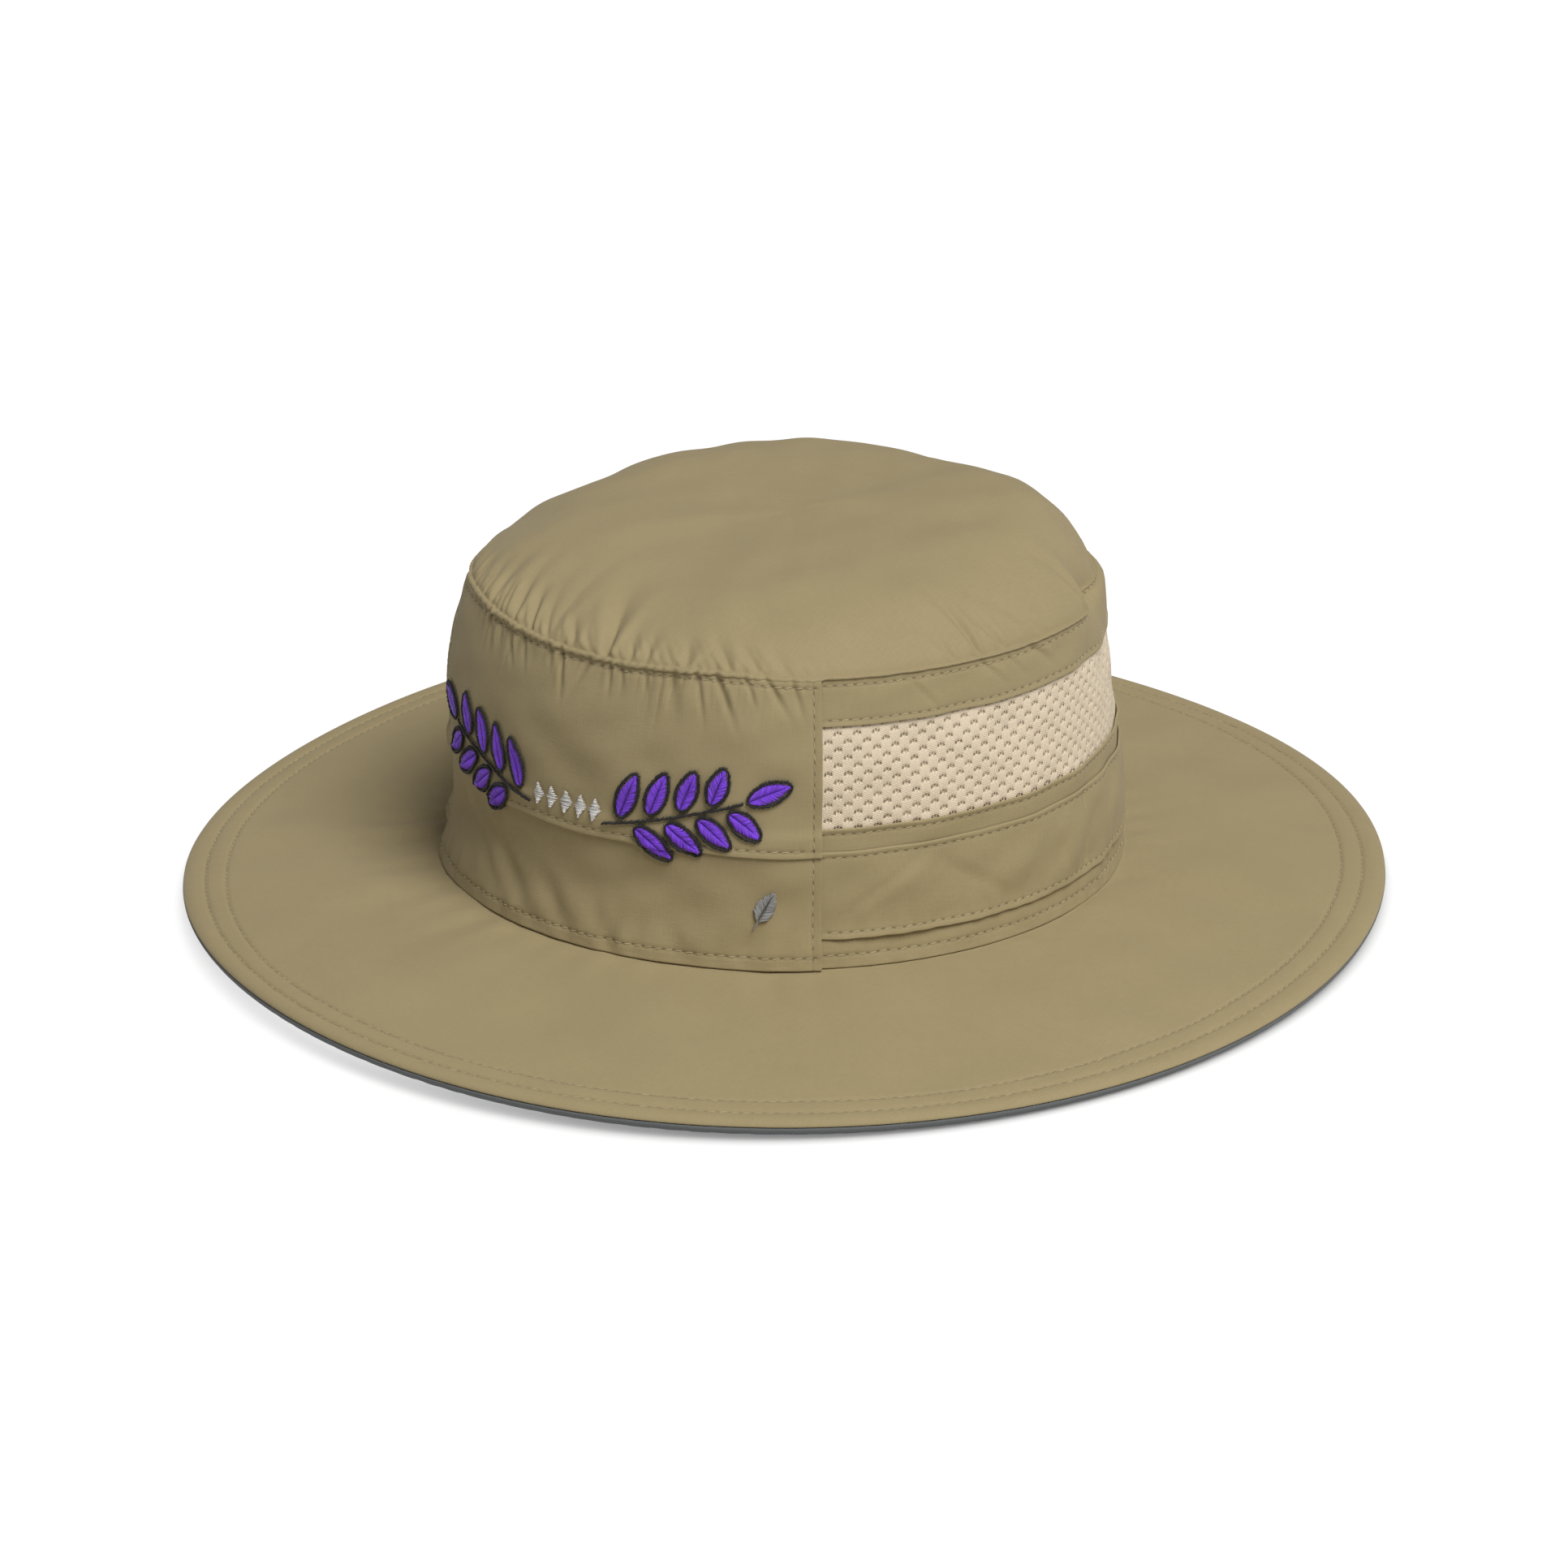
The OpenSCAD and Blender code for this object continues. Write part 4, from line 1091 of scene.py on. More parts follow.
def sew(name, places, size, lean=9.0, seed=3):
    """Copies the stitch to each place: arrays of centres, directions along the row and outwards."""
    centre, along, out = places
    pattern, faces = stitch_pattern()
    draw = np.random.default_rng(seed)
    n, k = len(centre), len(pattern)
    side = np.cross(out, along)
    side /= np.linalg.norm(side, axis=1, keepdims=True)
    tilt = np.radians(lean + draw.normal(0, 3.5, n))[:, None]
    a = along * np.cos(tilt) + side * np.sin(tilt)
    b = side * np.cos(tilt) - along * np.sin(tilt)
    long = size[0] * (1 + draw.normal(0, 0.05, n))
    x, y, z = pattern[:, 0], pattern[:, 1], pattern[:, 2]
    v = (
        centre[:, None]
        + a[:, None] * (x[None, :, None] * long[:, None, None])
        + b[:, None] * (y[None, :, None] * size[1])
        + out[:, None] * (z[None, :, None] * size[2] - 0.35 * size[2] * (2 * np.abs(x)[None, :, None]) ** 2)
    ).reshape(-1, 3)
    all_faces = [[i * k + j for j in f] for i in range(n) for f in faces]
    uv = np.stack([np.tile(x * size[0], n), np.tile(y, n)], -1) * MM
    tone = np.repeat(draw.uniform(0, 1, n), k)
    return finish_mesh(quads(v, all_faces, name, uv, tone), merge=0)


def row_places(form, place, face, name, lift=0.03):
    """Centres and directions of a row's stitches, which lie between its needle holes."""
    at, spans, n = form.rows[name]
    step, t = 360 / n, []
    for lo, hi in spans:
        k = np.arange(math.ceil(lo / step), math.floor(hi / step) + (0 if hi - lo >= 360 else 1))
        k = k[(k + 0.5) * step < hi + 1e-6]
        t.append((k + 0.5) * step)
    t = np.concatenate(t)
    o = face(at, t) + lift
    centre = place(at, o, t)
    along = place(at, o, t + 0.1) - place(at, o, t - 0.1)
    up = place(at + 0.3, o, t) - place(at - 0.3, o, t)
    return settle(centre, along, up)


def settle(centre, along, up):
    """Unit directions along a row and outwards from the cloth: away from the crown's middle, or up."""
    along = along / np.linalg.norm(along, axis=-1, keepdims=True)
    out = np.cross(along, up)
    out /= np.linalg.norm(out, axis=-1, keepdims=True)
    away = centre - np.array([0, 0, centre[:, 2].mean() - 60])
    out *= np.sign((out * away).sum(-1, keepdims=True))
    return centre, along, out


# ---- operators --------------------------------------------------------------
class HatOperator(bpy.types.Operator):
    bl_options = {"REGISTER", "UNDO"}

    def execute(self, context):
        self.make(hat_form(), context.scene.hat_colours)
        return {"FINISHED"}


class HAT_OT_crown_top(HatOperator):
    """Sews the oval top, gathered into its seam, with a rolled ridge and a flange inside"""

    bl_idname = "hat.crown_top"
    bl_label = "Crown top"

    def make(self, form, colours):
        t = ring_angles(1.1, (-66, 130), 0.35)
        parts = (np.linspace(0.1, 0.6, 12), np.linspace(0.625, 0.9, 18), np.linspace(0.91, 0.985, 14))
        q = np.concatenate([[0, 0.04], *parts, [0.991, 0.996, 1]])
        c = form.cloth_t
        turn = np.linspace(0, 1, 12)[:, None]
        s, o = form.piping(turn, t[None, :])
        roll = form.wall(s, o, t[None, :])
        tuck_s = form.wall_h - np.concatenate([[0.5], np.linspace(1.2, form.allowance - 2.5, 7)])[:, None]
        tuck = form.wall(tuck_s, form.flange_out + 0.1 * (tuck_s > form.wall_h - 1), t[None, :])
        top = np.concatenate([form.dome(q[:, None], 0, t[None, :]), roll[1:], tuck])
        under = form.wall(*form.piping(turn, t[None, :], c), t[None, :])
        tuck_in = form.wall(tuck_s, form.flange_in, t[None, :])
        low = np.concatenate([form.dome(q[:, None], -c, t[None, :]), under[1:], tuck_in])
        mid_rows = np.concatenate([np.zeros(len(q)), s[1:, 0], tuck_s[:, 0]])
        # at the middle every angle gives one point, and these are merged
        obj = cloth("crown_top", top, low, t, mid_rows, True, (None, 0.2), 0.3, True)
        dress(obj, poplin("khaki_top", colours.khaki, form), "khaki_cloth", "crown_tip")


class HAT_OT_front_panels(HatOperator):
    """Sews the upper and lower front panels, folded where they cross and over the side plies"""

    bl_idname = "hat.front_panels"
    bl_label = "Front panels"

    def make(self, form, colours):
        t = sweep_angles(-SEAM, SEAM, 0.25)
        edge = form.per_degree() * (SEAM - np.abs(t))[None, :]
        proud = fold_roll(edge, 0.16, 0.8)
        low, top = form.front_split, form.wall_h
        s = levels(low, top, 0.85, (form.rows["front_split"][0], form.rows["tip_seam"][0]), (True, False))
        out = form.front_face(s[:, None] + 0.06, t[None, :]) + proud + fold_roll(s[:, None] - low, 0.22)
        inn = form.front_face(s[:, None] + 0.06, t[None, :]) - form.cloth_t
        upper = wall_cloth(form, "front_upper", s, out, inn, t, edges=(0.34, 0.1), ends=0.34)
        columns = (-COLUMN, COLUMN)
        dress(
            upper,
            poplin("khaki_front_upper", colours.khaki, form, ("tip_seam", "front_split"), columns),
            "khaki_cloth",
            "crown_front_upper",
        )
        width = 2 * SEAM * form.per_degree() * MM
        high = low + SPLIT_LAP - 0.5
        s = levels(0, high, 0.85, (form.rows["base_seam"][0],), (True, False))
        hem = 1 - smooth((s[:, None] - form.hem_s) / 0.6)
        out = form.front_out + form.rise(t)[None, :] + proud + fold_roll(s[:, None], 0.2)
        inn = form.front_in + form.rise(t)[None, :] - hem * form.cloth_t + 0 * s[:, None]
        lower = wall_cloth(form, "front_lower", s, out, inn, t, edges=(0.42, 0.1), ends=0.34)
        dress(
            lower,
            poplin("khaki_front_lower", colours.khaki, form, ("base_seam",), columns),
            "khaki_cloth",
            "crown_front_lower",
        )


class HAT_OT_side_plies(HatOperator):
    """Sews the yoke above the vent and the base strip below it"""

    bl_idname = "hat.side_plies"
    bl_label = "Yoke and base strip"

    def make(self, form, colours):
        t = sweep_angles(form.side_from, 360 - form.side_from, 0.45, False)
        span = form.side_span()
        s = levels(
            form.mesh_high, form.wall_h, 0.9, (form.rows["yoke"][0], form.rows["tip_seam"][0]), (True, False)
        )
        out = fold_roll(s[:, None] - form.mesh_high, 0.2) + 0 * t[None, :]
        inn = form.side_in + 0 * out
        yoke = wall_cloth(form, "yoke", s, out, inn, t, edges=(0.3, 0.1))
        dress(
            yoke, poplin("khaki_yoke", colours.khaki, form, ("yoke", "tip_seam")), "khaki_cloth", "crown_yoke"
        )
        s = levels(0, form.mesh_low, 0.95, (form.rows["base_seam"][0], form.rows["mesh_lower"][0]))
        hem = 1 - smooth((s[:, None] - form.hem_s) / 0.6)
        out = fold_roll(s[:, None], 0.18) + fold_roll(form.mesh_low - s[:, None], 0.3) + 0 * t[None, :]
        inn = form.side_in - hem * form.cloth_t + 0 * out
        base = wall_cloth(form, "base_strip", s, out, inn, t, edges=(0.4, 0.36))
        dress(
            base,
            poplin("khaki_base", colours.khaki, form, ("base_seam", "mesh_lower")),
            "khaki_cloth",
            "crown_back_base",
        )


class HAT_OT_cord_band(HatOperator):
    """Sews the band with its cord tunnel, free at its lower fold, and opens it for the two eyelets"""

    bl_idname = "hat.cord_band"
    bl_label = "Cord band"

    def make(self, form, colours):
        t = sweep_angles(form.side_from, 360 - form.side_from, 0.45, False)
        s = levels(
            form.band_low, form.band_high, 0.9, (form.rows["band_top"][0], form.rows["band_bottom"][0])
        )
        out = (
            form.band_out + fold_roll(s[:, None] - form.band_low, 0.12)
            + fold_roll(form.band_high - s[:, None], 0.3) + 0 * t[None, :]
        )
        inn = form.band_in + 0 * out
        band = wall_cloth(form, "cord_band", s, out, inn, t, place=form.band, edges=(0.3, 0.36))
        for mount in frame["record"]["mounts"]:
            if mount["kind"] != "bore":
                continue
            axis = Vector(mount["axis"])
            alone()
            bpy.ops.mesh.primitive_cylinder_add(
                vertices=40,
                radius=PUNCH_R * MM,
                depth=12 * MM,
                location=Vector(mount["pos_m"]),
                rotation=axis.to_track_quat("Z", "Y").to_euler(),
            )
            punch = bpy.context.object
            bpy.ops.object.transform_apply(location=True, rotation=True, scale=True)
            alone(band)
            cut = band.modifiers.new("eyelet_hole", "BOOLEAN")
            cut.operation, cut.object, cut.solver = "DIFFERENCE", punch, "EXACT"
            bpy.ops.object.modifier_apply(modifier=cut.name)
            bpy.data.objects.remove(punch)
        dress(
            band,
            poplin("khaki_band", colours.khaki, form, ("band_top", "band_bottom")),
            "khaki_cloth",
            "cord_tunnel_band",
        )
        span = form.side_span()
        eyelets = frame["nodes"]["cord_eyelets"]
        eyelets.data.materials.clear()
        eyelets.data.materials.append(antiqued("eyelet_metal", colours.metal))


class HAT_OT_vent(HatOperator):
    """Knits the vent: a mesh with pairs of small holes, every second row set over by half a pair"""

    bl_idname = "hat.vent"
    bl_label = "Mesh vent"

    def make(self, form, colours):
        per = form.per_degree()
        start, stop = form.side_from * per, (360 - form.side_from) * per
        columns = 6 * int(round((stop - start) / form.vent_pitch))
        wide = (stop - start) / columns
        low, high = form.mesh_low - 1.2, form.mesh_high + 1.2
        count = int(round((high - low) / form.vent_row))
        tall = (high - low) / count
        # each small cell has six corners, and every second block of three has a slanting hole in each cell
        corners = np.array([(0, 0), (0.5, 0), (1, 0), (1, 1), (0.5, 1), (0, 1)])
        turn = np.array([210, 270, 330, 30, 90, 150])
        col, row = (x.ravel() for x in np.meshgrid(np.arange(columns), np.arange(count)))
        block, spot = col // 3, col % 3
        open_cell = (block + row) % 2 == 0
        draw = np.random.default_rng(43)
        size = 1 + draw.normal(0, 0.08, (len(col), 1))
        tilt = np.array([38, 12, -26])[spot][:, None] + draw.normal(0, 5, (len(col), 1))
        hx, hy = 0.45 * cos(turn)[None] * size, 0.38 * sin(turn)[None] * size
        hole_x = 0.5 * wide + hx * cos(tilt) - hy * sin(tilt) + np.array([0.10, 0, -0.08])[spot][:, None]
        hole_y = 0.5 * tall + hx * sin(tilt) + hy * cos(tilt) + np.array([-0.30, 0.10, -0.14])[spot][:, None]
        edge = np.broadcast_to(corners * [wide, tall], (len(col), 6, 2))
        hole_x, hole_y = np.clip(hole_x, 0.04, wide - 0.04), np.clip(hole_y, 0.1, tall - 0.1)
        flat = (
            np.concatenate([edge, np.stack([hole_x, hole_y], -1)], 1)
            + np.stack([start + col * wide, low + row * tall], -1)[:, None]
        )
        x, y = flat[..., 0], flat[..., 1]
        fade = smooth((y - low) / 0.6) * smooth((high - y) / 0.6)
        ridge = -0.13 * np.sin((x - start) / wide * math.pi / 3) * np.sin((y - low) / tall * math.pi)
        ridge[:, 6:] -= 0.10
        t = x / per
        sag = -0.2 * sin(180 * ramp((y - low) / (high - low))) * (0.6 + 0.4 * hum(t, 5, 12, 47))
        outer = form.wall(y, form.mesh_out - 0.12 + sag + ridge * fade, t)
        inner = form.wall(y, form.mesh_out - 0.36 + sag + ridge * fade * 0.6, t)
        points = np.stack([outer, inner], 1).reshape(-1, 3)
        ring, plain = [], [tuple(range(6)), tuple(range(17, 11, -1))]
        for i in range(6):
            j = (i + 1) % 6
            ring += [(i, j, 6 + j, 6 + i), (12 + i, 18 + i, 18 + j, 12 + j), (6 + i, 6 + j, 18 + j, 18 + i)]
        all_faces = [
            tuple(24 * c + v for v in f) for c in range(len(col)) for f in (ring if open_cell[c] else plain)
        ]
        flat_uv = np.repeat(np.stack([x, y], -1)[:, None], 2, 1).reshape(-1, 2) * MM
        vent = quads(points, all_faces, "vent_mesh", flat_uv)
        # a sheet behind the holes: partly the knit's real inner face, partly painted shade of the hat's inside
        # seen through them
        back_s = np.linspace(low - 1, high + 0.4, 12)
        back_t = np.linspace(form.side_from + 0.4, 360 - form.side_from - 0.4, 240)
        sag = (
            -0.2 * sin(180 * ramp((back_s[:, None] - low) / (high - low)))
            * (0.6 + 0.4 * hum(back_t, 5, 12, 47)[None])
        )
        o = form.mesh_out - 0.50 + sag
        back = wall_cloth(form, "vent_back", back_s, o, o - 0.16, back_t, edges=(0.1, 0.1), ends=0.1)
        dress(back, painted_shade_vent_knit("painted_shade_mesh_back", colours.shaded), "vent_mesh", "crown_mesh")
        # plain laps under the cloths above and below
        laps = []
        for a, b in ((form.mesh_low - 5, low), (high, form.mesh_high + 5)):
            lap_t = np.linspace(start, stop, columns // 2 + 1) / per
            o = form.mesh_out - 0.12 + 0 * lap_t
            laps.append(
                wall_cloth(form, "lap", np.linspace(a, b, 4), o, o - 0.24, lap_t, edges=(0.1, 0.01), ends=0.1)
            )
        finish_mesh(vent, 2e-5)
        for lap in laps:
            lap.data.uv_layers.remove(lap.data.uv_layers["Rows"])
            lap.select_set(True)
        vent.select_set(True)
        bpy.context.view_layer.objects.active = vent
        bpy.ops.object.join()
        dress(vent, knit("cream_knit", colours.cream), "vent_mesh", "crown_mesh")


class HAT_OT_brim(HatOperator):
    """Sews the brim: khaki above, charcoal below and foam between, with a seam line round its edge"""

    bl_idname = "hat.brim"
    bl_label = "Brim"

    def make(self, form, colours):
        t = ring_angles(0.6)
        tt = t[None, :]
        e, h, c, g = form.brim_run, form.brim_t, form.cloth_t, form.ply_gap
        rows = (form.rows["brim_inner"][0], form.rows["brim_outer"][0])
        a = levels(1.2, e - 4, 1.6, rows, (False, False))
        turn = np.linspace(0, 1, 10)[1:]
        a_roll = e - 4 + 3.95 * sin(90 * turn) ** 1.15
        h_roll = EDGE_SEAM + 0.12 + (h - EDGE_SEAM - 0.12) * cos(90 * turn) ** 0.8
        collar = np.array([form.allowance, COLLAR_MID, -g])
        a_top = np.concatenate([a, a_roll, [e - 0.3]])
        h_top = np.concatenate([0 * a + h, h_roll, [EDGE_SEAM - 0.1]])
        a_low = np.concatenate([a, e - 4 + (a_roll - e + 4) * 0.86, [e - 1.1]])
        h_low = np.concatenate([0 * a + h - c, np.maximum(h_roll - c, EDGE_SEAM + 0.02), [EDGE_SEAM - 0.1]])
        top = np.concatenate(
            [form.wall(collar[:, None], form.collar_out, tt), form.brim(a_top[:, None], h_top[:, None], tt)]
        )
        low = np.concatenate(
            [
                form.wall(collar[:, None] - [[0], [0], [c]], form.collar_in, tt),
                form.brim(a_low[:, None], h_low[:, None], tt),
            ]
        )
        marks = np.concatenate([collar * 0 - 5, a_top])
        upper = cloth("brim_top", top, low, t, marks, True, (0.1, 0.2), flat=True)
        dress(
            upper,
            poplin("khaki_brim", colours.khaki, form, ("brim_outer", "brim_inner")),
            "khaki_cloth",
            "brim_top_cloth",
        )

        a = levels(1.0, e - 4, 1.8, rows, (False, False))
        turn = np.linspace(0, 1, 9)[1:]
        a_roll = e - 4 + 4.0 * sin(90 * turn) ** 1.1
        h_roll = (EDGE_SEAM - 0.25) * (1 - cos(90 * turn) ** 0.9)
        a_out = np.concatenate([a, a_roll, [e - 0.45]])
        h_out = np.concatenate([0 * a, h_roll, [EDGE_SEAM - 0.12]])
        a_in = np.concatenate([a, e - 4 + (a_roll - e + 4) * 0.84, [e - 1.2]])
        h_in = np.concatenate([0 * a + c, np.minimum(h_roll + c, EDGE_SEAM - 0.3), [EDGE_SEAM - 0.2]])
        collar = np.array([form.allowance - 1, COLLAR_MID, 0])
        pleat = 0.12 * hum(t, 90, 190, 53)[None, :] * bell((a_out[:, None] - e + 3) / 3)
        out = np.concatenate(
            [
                form.wall(collar[:, None], form.under_in, tt),
                form.brim(a_out[:, None], h_out[:, None] + np.maximum(pleat, 0), tt),
            ]
        )
        inn = np.concatenate(
            [form.wall(collar[:, None], form.under_out, tt), form.brim(a_in[:, None], h_in[:, None], tt)]
        )
        marks = np.concatenate([collar * 0 - 5, a_out])
        under = cloth("brim_under", inn, out, t, marks, True, (0.1, 0.2), flat=True)
        dress(
            under,
            poplin("charcoal_under", colours.charcoal, form, ("brim_outer", "brim_inner")),
            "underbrim_cloth",
            "brim_under_cloth",
        )

        t = ring_angles(1.5)
        a = np.array([0.5, 4, 9, 18, 30, 43, 54, 60, 62, 65, 68, e - 5, e - 3.2])
        up = np.array([h - c - g] * (len(a) - 2) + [h - c - g - 0.3, EDGE_SEAM - 0.2])
        down = np.array([c + g] * (len(a) - 2) + [c + g + 0.2, c + g + 0.9])
        squeeze = 0.45 * (bell((a - rows[0]) / 2) + bell((a - rows[1]) / 2))
        core = cloth(
            "brim_foam",
            form.brim(a[:, None], (up - squeeze)[:, None], t),
            form.brim(a[:, None], (down + squeeze)[:, None], t),
            t,
            a,
            True,
            (0.5, 0.5),
            flat=True,
        )
        dress(core, cells("foam_core", colours.foam), "foam", "brim_core")


class HAT_OT_sweatband(HatOperator):
    """Sews the sweatband round its foam, with two blank labels on it"""

    bl_idname = "hat.sweatband"
    bl_label = "Sweatband and labels"

    def make(self, form, colours):
        t = ring_angles(1.0)
        tt = t[None, :]
        c, o, i = form.cloth_t, form.sweat_out, form.sweat_in
        low, high = -1.0, form.sweat_h - 1.0
        s = levels(low, high, 2.2, (low + 3, high - 3))
        pull = 0.25 * (bell((s - low - 3) / 1.4) + bell((s - high + 3) / 1.4))[:, None]
        soft = 0.22 * hum(t, 18, 44, 59)[None, :] * sin(180 * ramp((s - low) / (high - low)))[:, None]
        face = i + pull * 0.8 - soft * 0.5 + 0 * tt
        # the plies meet at the foot
        face = face + (o - 2 * c - 0.08 - face) * (1 - smooth((s[:, None] - low) / 1.3))
        outer_wall = form.wall(s[:, None], o, tt)
        shell_in = form.wall(s[:, None], face, tt)
        # one cloth that goes up the outside, over the top and down the inside
        up = np.linspace(0, 1, 7)[1:-1]
        arch_o = form.wall(
            high + 0.35 * sin(180 * up)[:, None], (o + (i - o) * (0.5 - 0.5 * cos(180 * up)))[:, None], tt
        )
        arch_i = form.wall(
            high - c + 0.2 * sin(180 * up)[:, None],
            (o - c + (i - o + 2 * c) * (0.5 - 0.5 * cos(180 * up)))[:, None],
            tt,
        )
        skin = np.concatenate([outer_wall, arch_o, shell_in[::-1]])
        lining = np.concatenate(
            [form.wall(s[:, None], o - c, tt), arch_i, form.wall(s[::-1, None], face[::-1] + c, tt)]
        )
        marks = np.concatenate([s, 0 * up + high, s[::-1]])
        band = cloth("sweatband", skin, lining, t, marks, True, (0.2, 0.2))
        dress(band, twill("wicking_knit", colours.sweat, 1.4, 0.25), "sweatband_cloth", "sweatband_cover")
        round_it = 360 * form.per_degree() * MM
        s = levels(low + 1.8, high - c - 0.2, 3, (), (True, True))
        a, b = o - c - 0.2, i + c + 0.2
        swell = 0.25 * sin(180 * ramp((s - low) / 34))[:, None]
        foam = wall_cloth(form, "sweat_foam", s, a, b + swell, t, True, edges=(0.7, 0.7))
        dress(foam, cells("foam_pad", colours.foam), "foam", "sweatband_foam")
        for name, node, a, b, lo, hi in (
            ("label_size", "size_label", 174, 186, 3, 15), ("label_care", "care_label", 206, 222, 1, 32)
        ):
            t2 = sweep_angles(a, b, 0.5)
            s = levels(lo, hi, 1.5)
            lift = (
                i - 1.2 * form.ply_gap - 0.25 * hum(t2 * 4, 3, 7, 61)[None, :] * bell((s[:, None] - lo) / 8)
            )
            label = wall_cloth(form, name, s, lift, lift - form.label_t, t2, edges=(0.14, 0.14), ends=0.14)
            dress(label, twill(name + "_satin", colours.label, 0.5, 0.2), "label_cloth", node)
            (b - a) * form.per_degree() * 0.95 * MM


class HAT_OT_inner_trim(HatOperator):
    """Sews the seam tapes inside the crown and the backing behind the embroidery"""

    bl_idname = "hat.inner_trim"
    bl_label = "Tapes and backing"

    def make(self, form, colours):
        t = ring_angles(0.8)
        s = levels(form.wall_h - 10.6, form.wall_h - 0.4, 1.2)
        ends = (0.16, 0.16)
        soft = 0.1 * hum(t, 60, 120, 67)[None, :] * sin(180 * ramp((s[:, None] - form.wall_h + 10.6) / 10.2))
        soft = np.maximum(soft, 0)
        tape = wall_cloth(form, "tip_tape", s, form.tape_out - soft, form.tape_in - soft, t, True, edges=ends)
        material = twill("seam_twill", colours.tape)
        dress(tape, material, "seam_tape", "tip_seam_tape")
        360 * form.per_degree() * 0.9 * MM
        for side, name in ((1, "left"), (-1, "right")):
            a, b = sorted((side * (form.side_from - 3), side * (SEAM + 2)))
            t = sweep_angles(a, b, 0.5)
            s = levels(form.allowance + 1.5, form.wall_h - 8.5, 1.5)
            strip = wall_cloth(
                form, "seam_tape_" + name, s, form.tape_out, form.tape_in, t, edges=ends, ends=0.16
            )
            dress(strip, material, "seam_tape", "front_seam_tape_" + name)
            (b - a) * form.per_degree() * 0.95 * MM
        t = sweep_angles(4 - form.side_from, form.side_from - 4, 0.6)
        s = levels(18, 60, 1.5)
        back = wall_cloth(
            form, "stitch_backing", s, -0.05, -0.05 - form.label_t, t, edges=(0.15, 0.15), ends=0.15
        )
        dress(back, cells("pressed_fibre", colours.backing), "backing_cloth", "embroidery_backing")
        (2 * form.side_from - 8) * form.per_degree() * MM


class HAT_OT_stitches(HatOperator):
    """Sews every row of stitches, one stitch at a time"""

    bl_idname = "hat.stitches"
    bl_label = "Rows of stitches"

    def make(self, form, colours):
        thread = spun("khaki_thread", colours.thread, 0.35, 0.12)
        d = form.thread_d
        size = (form.stitch_len * 0.76, d, d * 0.9)

        def crown_face(s, t):
            front = np.abs(turned(t)) <= SEAM
            return np.where(front, form.front_face(s, t), 0.02)

        def band_face(s, t):
            return form.band_out + 0 * t

        done = {}
        for row, piece, node in (
            ("base_seam", "base_stitches", "base_seam_thread"),
            ("tip_seam", "tip_stitches", "tip_seam_thread"),
            ("front_split", "split_stitches", "front_split_thread"),
            ("yoke", "yoke_stitches", "yoke_thread"),
            ("mesh_lower", "vent_stitches", "mesh_lower_thread"),
        ):
            places = row_places(form, form.wall, crown_face, row)
            done[piece] = dress(sew(piece, places, size, seed=len(done) + 70), thread, "khaki_thread", node)
        for row, piece, node in (
            ("band_top", "band_top_stitches", "band_top_thread"),
            ("band_bottom", "band_foot_stitches", "band_bottom_thread"),
        ):
            places = row_places(form, form.band, band_face, row)
            dress(sew(piece, places, size, seed=len(piece)), thread, "khaki_thread", node)
        for row, piece, node in (
            ("brim_outer", "brim_outer_stitches", "brim_outer_thread"),
            ("brim_inner", "brim_inner_stitches", "brim_inner_thread"),
        ):
            above = row_places(form, form.brim, lambda s, t: form.brim_t + 0 * t, row)
            below = row_places(form, form.brim, lambda s, t: 0 * t, row, 0.0)
            below = (below[0], below[1], -np.abs(below[2]) * np.sign(below[2]))
            both = [np.concatenate([a, b]) for a, b in zip(above, below)]
            dress(sew(piece, both, size, seed=len(node)), thread, "khaki_thread", node)
        # rows that run up the wall
        for piece, node, angle, lo, hi, place, face in (
            (
                "front_seam_stitches",
                "front_seam_thread",
                COLUMN,
                4.5,
                form.wall_h - 3,
                form.wall,
                form.front_face,
            ),
            (
                "tack_stitches",
                "band_tack_thread",
                TACK,
                form.band_low + 2.5,
                form.band_high - 2.5,
                form.band,
                band_face,
            ),
        ):
            first, last = math.ceil(lo / form.stitch_len), math.floor(hi / form.stitch_len)
            s = (np.arange(first, last) + 0.5) * form.stitch_len
            s, t = (x.ravel() for x in np.meshgrid(s, np.array([-angle, angle], float)))
            o = face(s, t) + 0.03
            centre = place(s, o, t)
            up = place(s + 0.3, o, t) - place(s - 0.3, o, t)
            around = place(s, o, t + 0.1) - place(s, o, t - 0.1)
            dress(sew(piece, settle(centre, up, around), size, seed=len(piece)), thread, "khaki_thread", node)


SPRIG_X, SPRIG_Y, SPRIG_LEAN = 14, 36, 10  # where each sprig's stem starts on the panel, and its slope
LEAF_PAIRS = 4
LEAF_GAP = 1.5  # distance of each leaf's foot from the stem
SEEDS, SEED_STEP, SEED_HALF = 5, 4.6, 2.9  # the diamonds' number, distance and half height


